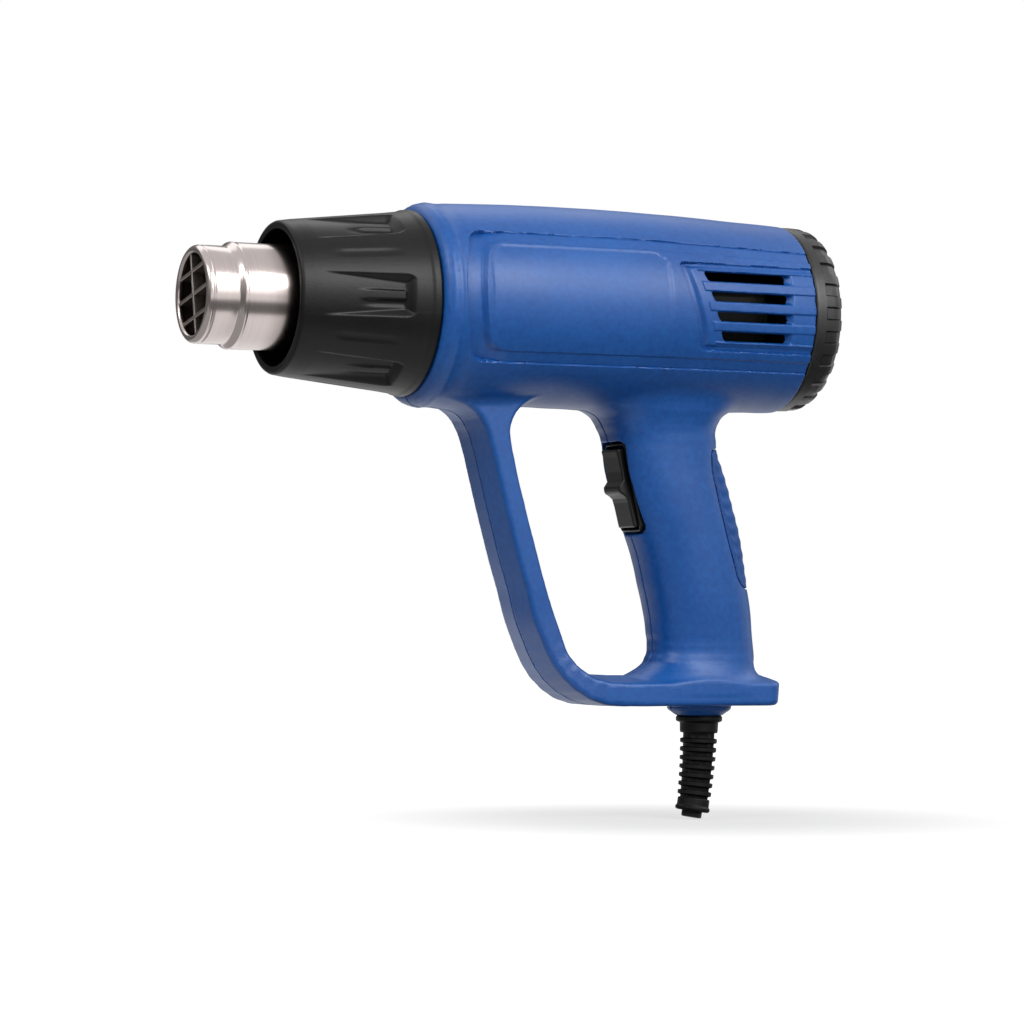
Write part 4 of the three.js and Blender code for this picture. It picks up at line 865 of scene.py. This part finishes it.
def screwTree():
    kinds = {"Seats": "Geometry", "Head Radius": "Float", "Crown Radius": "Float", "Head Height": "Float",
             "Shank Radius": "Float", "Finish": "Material"}
    nodes, start = shapeTree("screwSet", kinds, "Screws")
    head = nodes.node("GeometryNodeMeshCone", {}, {
        "Vertices": 48, "Radius Top": start["Crown Radius"], "Radius Bottom": start["Head Radius"],
        "Depth": start["Head Height"]})
    bars = []
    cross = tuple(value * mm for value in screwLook["cross"])
    for turn in (0, math.pi / 2):
        bar = nodes.node("GeometryNodeMeshCube", {}, {"Size": cross})
        bars.append(nodes.node("GeometryNodeTransform", {}, {
            "Geometry": bar, "Translation": (0, 0, screwLook["tall"] * mm), "Rotation": (0, 0, turn)}))
    head = nodes.node("GeometryNodeMeshBoolean", {"operation": "DIFFERENCE"}, {0: head, 1: bars})
    shank = nodes.node("GeometryNodeMeshCylinder", {}, {
        "Vertices": 24, "Depth": 1.0, "Radius": start["Shank Radius"]})
    shank = nodes.node("GeometryNodeTransform", {}, {"Geometry": shank, "Translation": (0, 0, -0.5)})
    reach = nodes.node("GeometryNodeInputNamedAttribute", {"data_type": "FLOAT"}, {"Name": "reach"})
    size = nodes.node("ShaderNodeCombineXYZ", {}, {"X": 1, "Y": 1, "Z": reach})
    copies = []
    for shape, scale in ((head, (1, 1, 1)), (shank, size)):
        copies.append(nodes.node("GeometryNodeInstanceOnPoints", {}, {
            "Points": start["Seats"], "Instance": shape, "Rotation": (-math.pi / 2, 0, 0), "Scale": scale}))
    both = nodes.node("GeometryNodeJoinGeometry", {}, {0: copies})
    real = nodes.node("GeometryNodeRealizeInstances", {}, {0: both})
    paint = nodes.node("GeometryNodeSetMaterial", {}, {"Geometry": real, "Material": start["Finish"]})
    nodes.node("NodeGroupOutput", {}, {"Screws": paint})
    return nodes.tree


def setInputs(modifier, **values):
    names = {item.name.replace(" ", ""): item.identifier for item in modifier.node_group.interface.items_tree
             if item.in_out == "INPUT"}
    for name, value in values.items():
        modifier[names[name]] = value


def buildScrews():
    look = screwLook
    mesh = bpy.data.meshes.new("housingScrews")
    seats = [(x * mm, (seat + look["gap"]) * mm, z * mm) for x, z, seat in screwSpots]
    mesh.from_pydata(seats, [], [])
    reach = mesh.attributes.new("reach", "FLOAT", "POINT")
    for spot, (x, z, seat), last in zip(reach.data, screwSpots, look["ends"]):
        spot.value = (seat + look["gap"] - last) * mm
    mesh.materials.append(finishes["screwSteel"])
    piece = bpy.data.objects.new("housingScrews", mesh)
    scene.collection.objects.link(piece)
    modifier = piece.modifiers.new("screws", "NODES")
    modifier.node_group = screwTree()
    setInputs(modifier, HeadRadius=look["head"] * mm, CrownRadius=look["crown"] * mm,
              HeadHeight=look["tall"] * mm, ShankRadius=look["shank"] * mm, Finish=finishes["screwSteel"])
    baked(piece)
    sharpen(piece, 35)
    return piece


dress(buildScrews(), "body", "screw_steel", *[f"housing_screw_{i}" for i in range(1, 7)])


# One sector of a turned piece, copied round the barrel's axis
def turnTree():
    kinds = {"Sector": "Geometry", "Count": "Int", "Finish": "Material"}
    nodes, start = shapeTree("turnRound", kinds, "Whole")
    line = nodes.node("GeometryNodeMeshLine", {}, {"Count": start["Count"], "Offset": (0, 0, 0)})
    index = nodes.node("GeometryNodeInputIndex")
    turn = index.math("DIVIDE", index, start["Count"]) * (2 * math.pi)
    spin = nodes.node("ShaderNodeCombineXYZ", {}, {"X": turn})
    copies = nodes.node("GeometryNodeInstanceOnPoints", {}, {
        "Points": line, "Instance": start["Sector"], "Rotation": spin})
    real = nodes.node("GeometryNodeRealizeInstances", {}, {0: copies})
    weld = nodes.node("GeometryNodeMergeByDistance", {}, {"Geometry": real, "Distance": 0.000004})
    paint = nodes.node("GeometryNodeSetMaterial", {}, {"Geometry": weld, "Material": start["Finish"]})
    nodes.node("NodeGroupOutput", {}, {"Whole": paint})
    return nodes.tree


turnRound = turnTree()


def turnSector(name, rows, count, columns, finish, lift=None, degrees=38):
    rows = np.asarray(rows, float)
    angles = np.linspace(-math.pi / count, math.pi / count, columns + 1)
    x = np.repeat(rows[None, :, 0], columns + 1, 0)
    r = np.repeat(rows[None, :, 1], columns + 1, 0)
    turn = np.repeat(angles[:, None], len(rows), 1)
    if lift is not None:
        r = r - lift(x, r, turn)
    verts = np.stack([x, -r * np.cos(turn), r * np.sin(turn)], 2).reshape(-1, 3)
    m = len(rows)
    j, i = np.meshgrid(np.arange(columns), np.arange(m), indexing="ij")
    k = (i + 1) % m
    faces = np.stack([j * m + i, j * m + k, (j + 1) * m + k, (j + 1) * m + i], 2).reshape(-1, 4)
    piece = meshFrom(name, verts, faces, finish)
    modifier = piece.modifiers.new("turn", "NODES")
    modifier.node_group = turnRound
    setInputs(modifier, Count=count, Finish=finishes[finish])
    baked(piece)
    sharpen(piece, degrees)
    return piece


def refined(points, step):
    out = []
    points = [np.array(p, float) for p in points]
    for a, b in zip(points, points[1:]):
        n = max(1, int(np.linalg.norm(b - a) / step))
        out += [a + (b - a) * t for t in np.linspace(0, 1, n, endpoint=False)]
    out.append(points[-1])
    return out


# Front sleeve: tapering grip pockets with a raised rib, shallow lines between
sleeve = {
    "pockets": 6, "front": -190.8, "back": -162.4, "wall": 3.2, "half": 7.1, "deep": 2.5, "steep": 1.1,
    "ribFront": -179.5, "ribHalf": 1.65, "ribTall": 0.7, "lineDeep": 0.3,
    "outer": [(-197.75, 23.3), (-197.8, 24.4), (-197.5, 25.05), (-196.9, 25.4), (-192.9, 26.0),
              (-188.3, 26.5), (-181.2, 27.3), (-174, 28.1), (-166.8, 28.9), (-159.6, 29.7), (-155.2, 30.3),
              (-153.8, 30.55), (-153.2, 30.95), (-151.4, 31.15), (-150.85, 31.05), (-150.65, 30.7)],
    "inner": [(-150.6, 28.6), (-139.6, 28.6), (-139.6, 25.4), (-159.6, 25.4), (-175, 24.6), (-196.2, 22.9),
              (-197.2, 22.6), (-197.6, 22.75)],
}


def sleevePocket(x, r, turn):
    s = sleeve
    arc = r * turn
    share = np.clip((x - s["front"]) / (s["back"] - s["front"]), 0, 1)
    floor = s["deep"] * share * (1 - ramp(0, s["wall"], x - s["back"]))
    half = s["half"] - 1.6 * np.clip((x - s["back"]) / s["wall"], 0, 1) ** 2
    depth = cut(join(floor, (half - np.abs(arc)) * s["steep"], 0.25), 0 * arc, 0.1)
    raised = ramp(s["ribFront"], s["ribFront"] + 9, x) * (x < s["back"] + 0.1)
    rib = ramp(-0.35, 0.35, s["ribHalf"] - np.abs(arc - 0.1)) * s["ribTall"]
    groove = 0.45 * ramp(-0.6, 0.6, 0.9 - np.abs(arc + 2.9))
    depth = np.maximum(depth - raised * (rib - groove), 0)
    between = np.abs(np.abs(turn) - math.pi / s["pockets"]) * r
    thin = s["lineDeep"] * ramp(-187, -181, x) * (1 - ramp(-170, -160, x)) * (1 - ramp(0.3, 1.8, between))
    return ramp(25.3, 25.9, r) * (depth + thin)


def buildSleeve():
    rows = refined(sleeve["outer"], 0.42) + refined(sleeve["inner"], 2.5)
    return turnSector("frontSleeve", rows, sleeve["pockets"], 84, "blackPlastic", sleevePocket, 50)


dress(buildSleeve(), "body", "black_plastic", "front_guard")

# Rear cap: flat end, square grip pockets open to the rear edge, each with a fine outline
cap = {
    "count": 24, "half": 2.2, "deep": 0.8, "front": -7.1, "line": 0.35,
    "rim": [(-11.15, 29.4), (-11.2, 31.3), (-10.9, 31.75), (-10.3, 31.95), (-7.4, 32.0), (-7.0, 32.0),
            (-4.0, 31.85), (-2.4, 31.45), (-1.2, 30.7), (-0.4, 29.9), (-0.05, 29.0), (0, 28.2)],
    "inside": [(0, 28.2), (0, 25.0), (-0.5, 24.6), (-0.5, 6.0), (-0.5, 0.02), (-2.8, 0.02), (-2.8, 26.6),
               (-19.2, 26.6), (-19.2, 29.0), (-11.3, 29.0)],
}


def capPocket(x, r, turn):
    box = np.minimum(cap["half"] - np.abs(32 * turn), x - cap["front"])
    depth = cap["deep"] * ramp(-0.13, 0.13, box) + cap["line"] * (1 - ramp(0, 0.28, np.abs(box - 0.1)))
    return ramp(28.6, 29.4, r) * depth


def buildCap():
    rows = refined(cap["rim"], 0.24)[:-1] + refined(cap["inside"], 6)
    return turnSector("rearCap", rows, cap["count"], 46, "capPlastic", capPocket, 40)


dress(buildCap(), "body", "black_plastic", "rear_cap")

# Outlet tube: rolled lip, step, rear flange
tube = {
    "rows": [(-225.2, 13.35), (-225.9, 13.42), (-226.35, 13.7), (-226.6, 14.2), (-226.6, 14.7),
             (-226.4, 15.2), (-226.0, 15.65), (-225.5, 15.95), (-224.9, 16.1), (-224.45, 16.05),
             (-224.25, 15.85), (-224.05, 15.85), (-223.8, 16.05), (-223.4, 16.12), (-216.6, 16.12),
             (-216.1, 16.0), (-215.75, 16.0), (-215.4, 16.2), (-214.5, 17.15), (-214.15, 17.45),
             (-213.75, 17.6), (-213.3, 17.58), (-212.9, 17.42), (-212.5, 17.42), (-212.0, 17.5),
             (-160, 17.5), (-102.6, 17.5), (-102.6, 23.5), (-101.1, 23.5), (-101.1, 16.7),
             (-213.4, 16.7), (-215.4, 15.4), (-224.6, 15.3), (-224.9, 14.8), (-224.9, 13.6)],
}
tubePiece = turnSector("nozzleTube", tube["rows"], 6, 32, "nozzleSteel", None, 60)
dress(tubePiece, "body", "nozzle_steel", "nozzle_tube")
print("turned pieces made")


# Mouth grille: folded strips, slotted together
grille = {"front": -226.0, "deep": 4.0, "thick": 1.15, "pitch": 7.6, "turn": math.radians(-11),
          "reach": 13.25, "edge": 0.12, "fold": (0.2, 0.1), "foldDeep": 0.5}


def buildGrille():
    verts, faces = [], []
    g = grille
    half, edge = g["thick"] / 2, g["edge"]
    c, s = math.cos(g["turn"]), math.sin(g["turn"])
    for upright, place in ((True, 0), (False, -g["pitch"]), (False, 0), (False, g["pitch"])):
        long = math.sqrt(g["reach"] ** 2 - (abs(place) + half) ** 2)
        fold = g["fold"][upright]
        ring = [(-half, edge), (-half + edge, 0), (-fold, 0), (0, g["foldDeep"]), (fold, 0), (half - edge, 0),
                (half, edge), (half, g["deep"]), (-half, g["deep"])]
        base = len(verts)
        for end in (-long, long):
            for across, back in ring:
                u, v = (across + place, end) if upright else (end, across + place)
                verts.append((g["front"] + back, u * c - v * s, u * s + v * c))
        n = len(ring)
        strip = [(base + i, base + (i + 1) % n, base + n + (i + 1) % n, base + n + i) for i in range(n)]
        strip += [tuple(base + i for i in range(n))[::-1], tuple(base + n + i for i in range(n))]
        faces += strip if not upright else [f[::-1] for f in strip]
    return meshFrom("nozzleGrille", verts, faces, "gridSteel", False)


dress(buildGrille(), "body", "nozzle_steel", "nozzle_grille")


# Switch: frame with a raised rim, and the rocker with its thumb hump, in lengths along and out of the grip
rocker = {"halfL": 13.7, "halfW": 5.2, "wing": 0.9, "pinOut": -2.5, "pin": 1.4, "pinHole": 1.7,
          "line": [(-15, 2.75), (-14, 2.7), (-11, 2.45), (-6, 2.35), (-2.9, 2.55), (-1.9, 3.6), (-1.2, 4.35),
                   (-0.4, 4.5), (0.4, 4.5), (1.1, 4.25), (2.2, 3.0), (3.4, 2.1), (5, 1.85), (13.9, 1.55),
                   (15, 1.5)],
          "under": [(-15, 0.4), (-13.7, 0.4), (-12.5, -1.0), (-6, -4.4), (6, -4.4), (12.5, -1.0), (13.7, 0.4),
                    (15, 0.4)]}
bezel = {"rim": (15.4, 7.8, 2.2), "rimOut": (-2.3, 0.15), "box": (13.4, 6.6, 0.8), "boxOut": (-14, -1),
         "opening": (14.5, 5.6, 0.6), "floor": -8, "pinHalf": 6.0}


def switchMesh(name, field, low, high, step, finish):
    points, faces, _, _ = netOf(field, low, high, step)
    points = settle(field, points, step)
    s, c = math.sin(switchSpot["tilt"]), math.cos(switchSpot["tilt"])
    l, y, n = points.T
    world = np.stack([switchSpot["x"] + l * s - n * c, y, switchSpot["z"] - l * c - n * s], 1)
    piece = meshFrom(name, world, faces[:, ::-1], finish)
    slope = facing(field, points)
    turned = np.stack([slope[:, 0] * s - slope[:, 2] * c, slope[:, 1], -slope[:, 0] * c - slope[:, 2] * s], 1)
    piece.data.normals_split_custom_set_from_vertices(turned)
    return piece


def rockerField(l, y, n):
    top = np.interp(l, *zip(*rocker["line"]))
    under = np.interp(l, *zip(*rocker["under"]))
    sides = roundBox(l, y, rocker["halfL"], rocker["halfW"] + rocker["wing"] * ramp(-0.4, 0.2, n), 0.5)
    body = cut(cut((n - top) * 0.85, sides, 0.8), (under - n) * 0.9, 0.4)
    return np.maximum(body, rocker["pinHole"] - np.hypot(l, n - rocker["pinOut"]))


def bezelField(l, y, n):
    b = bezel
    rim = np.maximum(n - b["rimOut"][1], b["rimOut"][0] - n)
    rim = cut(roundBox(l, y, *b["rim"]), rim, 0.6)
    box = np.maximum(roundBox(l, y, *b["box"]), np.maximum(n - b["boxOut"][1], b["boxOut"][0] - n))
    long, wide, corner = b["opening"]
    wide = wide + rocker["wing"] * ramp(-2.4, -2.0, n)
    opening = np.maximum(roundBox(l, y, long, wide, corner), b["floor"] - n)
    pin = np.maximum(np.hypot(l, n - rocker["pinOut"]) - rocker["pin"], np.abs(y) - b["pinHalf"])
    return np.minimum(cut(np.minimum(rim, box), -opening, 0.4), pin)


dress(switchMesh("switchRocker", rockerField, (-14.6, -6.9, -5.4), (14.6, 6.9, 5.6), 0.3, "switchPlastic"),
      "rocker", "black_plastic", "switch_rocker")
dress(switchMesh("switchFrame", bezelField, (-16.4, -8.8, -15), (16.4, 8.8, 1.8), 0.36, "switchPlastic"),
      "body", "black_plastic", "switch_body")

# Boot: flange, cuff, ribs with slots between them, end bead, on a slightly bent line
boot = {"top": -138.0, "x": -39.4, "bend": math.radians(9), "length": 32.7, "ribs": 7, "ribStart": 7.7,
        "pitch": 3.0, "rib": 1.6, "crest": (6.4, 5.75), "post": 1.0, "slot": 2.0, "bore": 3.8, "sides": 64,
        "ribbed": (5.8, 28.3),
        "profile": [(-3.4, 6.4), (0, 7.7), (0.35, 8.0), (1.5, 8.0), (1.9, 7.7), (2.2, 6.65), (5.3, 6.55),
                    (5.8, 6.3), (28.3, 5.2), (28.6, 5.5), (30.9, 5.5), (31.1, 5.6), (31.5, 5.95),
                    (32.2, 5.95), (32.55, 5.7), (32.7, 5.3)]}


def bootFrame(s):
    turn = boot["bend"] * np.maximum(s, 0) / boot["length"]
    x = boot["x"] - np.maximum(s, 0) * np.sin(turn / 2)
    return x, boot["top"] - s * np.cos(turn / 2), turn


def bootRadius(s, turn):
    b = boot
    plain = np.interp(s, *zip(*b["profile"]))
    rung = (s - b["ribStart"]) / b["pitch"]
    crest = np.interp(rung, [0, b["ribs"]], b["crest"])
    phase = (rung - np.floor(rung)) * b["pitch"]
    ridge = ramp(-0.25, 0.25, phase) * (1 - ramp(b["rib"] - 0.2, b["rib"] + 0.3, phase))
    ridge = np.where(s < b["ribStart"] - 0.3, 0, ridge)
    window = ramp(-0.1, 0.1, np.abs(np.sin(turn)) - 0.62)
    groove = crest - b["post"] - (b["slot"] - b["post"]) * window
    ribbed = (s > b["ribbed"][0]) & (s < b["ribbed"][1])
    return np.where(ribbed, groove + (crest - groove) * ridge, plain)


# Rings along the bent line, each a place and a radius
def ringMesh(name, rows, turn, ends):
    verts = []
    for place, radius in rows:
        x, z, lean = bootFrame(place)
        out, y = radius * np.cos(turn), radius * np.sin(turn)
        verts.append(np.stack([x + out * np.cos(lean), y, z - out * np.sin(lean)], 1))
    m, sides = len(rows), len(turn)
    i, j = np.meshgrid(np.arange(m - 1 if ends else m), np.arange(sides), indexing="ij")
    k, n = (i + 1) % m, (j + 1) % sides
    faces = [np.stack([i * sides + n, k * sides + n, k * sides + j, i * sides + j], 2).reshape(-1, 4)]
    if ends:
        faces.append(np.array([np.arange(sides)[::-1], (m - 1) * sides + np.arange(sides)]))
    piece = meshFrom(name, np.concatenate(verts), faces, "blackRubber")
    sharpen(piece, 45)
    return piece


def buildBoot():
    turn = np.linspace(0, 2 * math.pi, boot["sides"], endpoint=False)
    places = np.concatenate([[-3.4, -2, -0.5, -0.02], np.arange(0, 5.9, 0.18), np.arange(5.9, 28.4, 0.13),
                             np.arange(28.4, 32.72, 0.12)])
    rows = [(place, bootRadius(np.full(len(turn), place), turn)) for place in places]
    rows += [(place, np.full(len(turn), boot["bore"])) for place in (32.7, 24, 16, 8, 0, -3.4)]
    return ringMesh("cordBoot", rows, turn, False)


dress(buildBoot(), "body", "black_rubber", "strain_relief")

# Cord stub: sheath with a square cut end
cordStub = {"radius": 3.5, "end": 34.9, "sides": 40, "places": (-32.0, -20, -10, 0, 8, 16, 24, 31),
            "cut": [(0.5, 0), (0.15, 0.12), (0, 0.45)]}


def buildCord():
    c = cordStub
    rows = [(place, c["radius"]) for place in c["places"]]
    rows += [(c["end"] - back, c["radius"] - less) for back, less in c["cut"]]
    return ringMesh("cordTail", rows, np.linspace(0, 2 * math.pi, c["sides"], endpoint=False), True)


dress(buildCord(), "body", "black_rubber", "cord_tail")
print("boot and cord made")

# Finishes of the pieces inside, which keep their solids; the near-black ones are partly their own dark colour
# and partly painted shade for the dark seen through the vent slots
carried = {
    "screwSteel": ["clamp_screw_1", "clamp_screw_2"],
    "innerBlack": ["cord_clamp", "motor_can", "motor_end_bell", "motor_carrier"],
    "micaSheet": ["mica_sleeve", "heater_former"],
    "heaterWire": ["heater_coil"],
    "ceramicWhite": ["heater_insulator"],
    "nozzleSteel": ["thermal_cutout"],
    "motorIron": ["motor_rotor", "motor_shaft"],
    "magnetGrey": ["motor_magnet_1", "motor_magnet_2"],
    "fanPlastic": ["fan_wheel"],
    "boardGreen": ["rectifier_board"],
    "yellowPlastic": ["capacitor"],
    "leadBrown": ["lead_live"],
    "leadBlue": ["lead_neutral"],
    "leadRed": ["lead_heater", "lead_motor"],
}
for look, names in carried.items():
    for name in names:
        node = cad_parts[name]
        node.data.materials.clear()
        node.data.materials.append(finishes[look])

# Stage: white floor and background, soft lamps
stage = {"floorZ": -0.17345, "floorSize": 12.0, "glow": 0.6, "white": 1.12, "ambient": 0.14, "skyShine": 0.8,
         "floor": (0.40, 0.40, 0.41, 1), "middle": (-0.043, 0, -0.173), "fade": (0.03, 0.17)}
lamps = {
    "keyBox": {"place": (0.16, -1.32, 0.76), "aim": (-0.1, 0, 0), "size": (1.25, 0.7), "power": 19.5},
    "leftBox": {"place": (-1.35, -0.55, 0.75), "aim": (-0.1, 0, 0), "size": (0.8, 0.8), "power": 11},
    "backBox": {"place": (-0.1, 0.95, 1.05), "aim": (-0.1, 0, 0), "size": (1.6, 0.6), "power": 3},
    "topBox": {"place": (-0.1, -0.15, 1.3), "aim": (-0.1, 0, 0), "size": (1.2, 0.7), "power": 3,
               "glossy": False},
}


def flatCard(left, right, front, back, z):
    return [(left, front, z), (right, front, z), (right, back, z), (left, back, z)]


# Cards seen only in reflections: grey on the floor, left and behind, bright at the key lamp and the right
cards = {
    "frontCard": {"level": 0.17, "corners": flatCard(-0.8, 0.8, -0.66, -0.2, -0.1715)},
    "underCard": {"level": 0.17, "corners": flatCard(-0.085, 0.5, -0.2, 0.03, -0.1715)},
    "sideCard": {"level": 0.46, "corners": flatCard(-1.2, -0.2, -0.2, 0.8, -0.1716)},
    "leftCard": {"level": 0.17, "corners": [(-0.66, -0.62, -0.17), (-0.66, 0.3, -0.17), (-0.66, 0.3, 0.3),
                                            (-0.66, -0.62, 0.3)]},
    "backCard": {"level": 0.15, "corners": [(-1.8, 0.8, -0.17), (1.8, 0.8, -0.17), (1.8, 0.8, 0.55),
                                            (-1.8, 0.8, 0.55)]},
    "keyCard": {"level": 1.8, "corners": [(-0.1, -1.5, 0.05), (1.1, -1.5, 0.05), (1.1, -1.5, 1.35),
                                          (-0.1, -1.5, 1.35)]},
    "rightCard": {"level": 2.8, "corners": [(0.98, -0.34, 0.26), (0.98, 0.26, 0.26), (0.6, 0.26, 0.74),
                                            (0.6, -0.34, 0.74)]},
}


# White for the camera, for reflections by the given share, and through clear things; nothing for other light
def viewShare(finish, shine=1.0):
    path = finish.tree.nodes.new("ShaderNodeLightPath")
    names = ("Is Camera Ray", "Is Glossy Ray", "Is Transmission Ray")
    camera, glossy, clear = [Wire(finish, path.outputs[name]) for name in names]
    total = camera + glossy * shine + clear
    return total.math("MINIMUM", total, 1.0)


def buildCards():
    for name, card in cards.items():
        finish = Nodes(name)
        shine = finish.node("ShaderNodeEmission", {}, {"Color": (1, 1, 1, 1), "Strength": card["level"]})
        finish.node("ShaderNodeOutputMaterial", {}, {"Surface": shine})
        mesh = bpy.data.meshes.new(name)
        mesh.from_pydata(card["corners"], [], [(0, 1, 2, 3)])
        mesh.materials.append(finish.material)
        shape = bpy.data.objects.new(name, mesh)
        scene.collection.objects.link(shape)
        shape.visible_camera = False
        shape.visible_diffuse = False
        shape.visible_shadow = False


def buildStage():
    half = stage["floorSize"] / 2
    mesh = bpy.data.meshes.new("floor")
    corners = [(-half, -half), (half, -half), (half, half), (-half, half)]
    mesh.from_pydata([(x, y, stage["floorZ"]) for x, y in corners], [], [(0, 1, 2, 3)])
    floor = bpy.data.objects.new("floor", mesh)
    scene.collection.objects.link(floor)
    finish = Nodes("floorWhite")
    plain = finish.node("ShaderNodeBsdfDiffuse", {}, {"Color": stage["floor"]})
    glow = finish.node("ShaderNodeEmission", {}, {"Color": (1, 1, 1, 1), "Strength": stage["white"]})
    spot = finish.node("ShaderNodeTexCoord", out="Object")
    ends = {0: spot, 1: stage["middle"]}
    away = finish.node("ShaderNodeVectorMath", {"operation": "DISTANCE"}, ends, out="Value")
    white = away.step(*stage["fade"]) * (1 - stage["glow"]) + stage["glow"]
    both = finish.node("ShaderNodeMixShader", {}, {0: viewShare(finish) * white, 1: plain, 2: glow})
    finish.node("ShaderNodeOutputMaterial", {}, {"Surface": both})
    mesh.materials.append(finish.material)
    buildCards()
    world = bpy.data.worlds.new("studio")
    world.use_nodes = True
    scene.world = world
    sky = Nodes("studio", world.node_tree)
    share = viewShare(sky, stage["skyShine"])
    level = share * (1 - stage["ambient"]) + stage["ambient"]
    shine = sky.node("ShaderNodeBackground", {}, {"Color": (1, 1, 1, 1), "Strength": level})
    sky.node("ShaderNodeOutputWorld", {}, {"Surface": shine})
    for name, lamp in lamps.items():
        data = bpy.data.lights.new(name, "AREA")
        data.shape = "RECTANGLE"
        data.size, data.size_y = lamp["size"]
        data.energy = lamp["power"]
        box = bpy.data.objects.new(name, data)
        box.location = lamp["place"]
        aim = Vector(lamp["aim"]) - Vector(lamp["place"])
        box.rotation_euler = aim.to_track_quat("-Z", "Y").to_euler()
        box.visible_glossy = lamp.get("glossy", True)
        scene.collection.objects.link(box)


buildStage()
print("stage made")
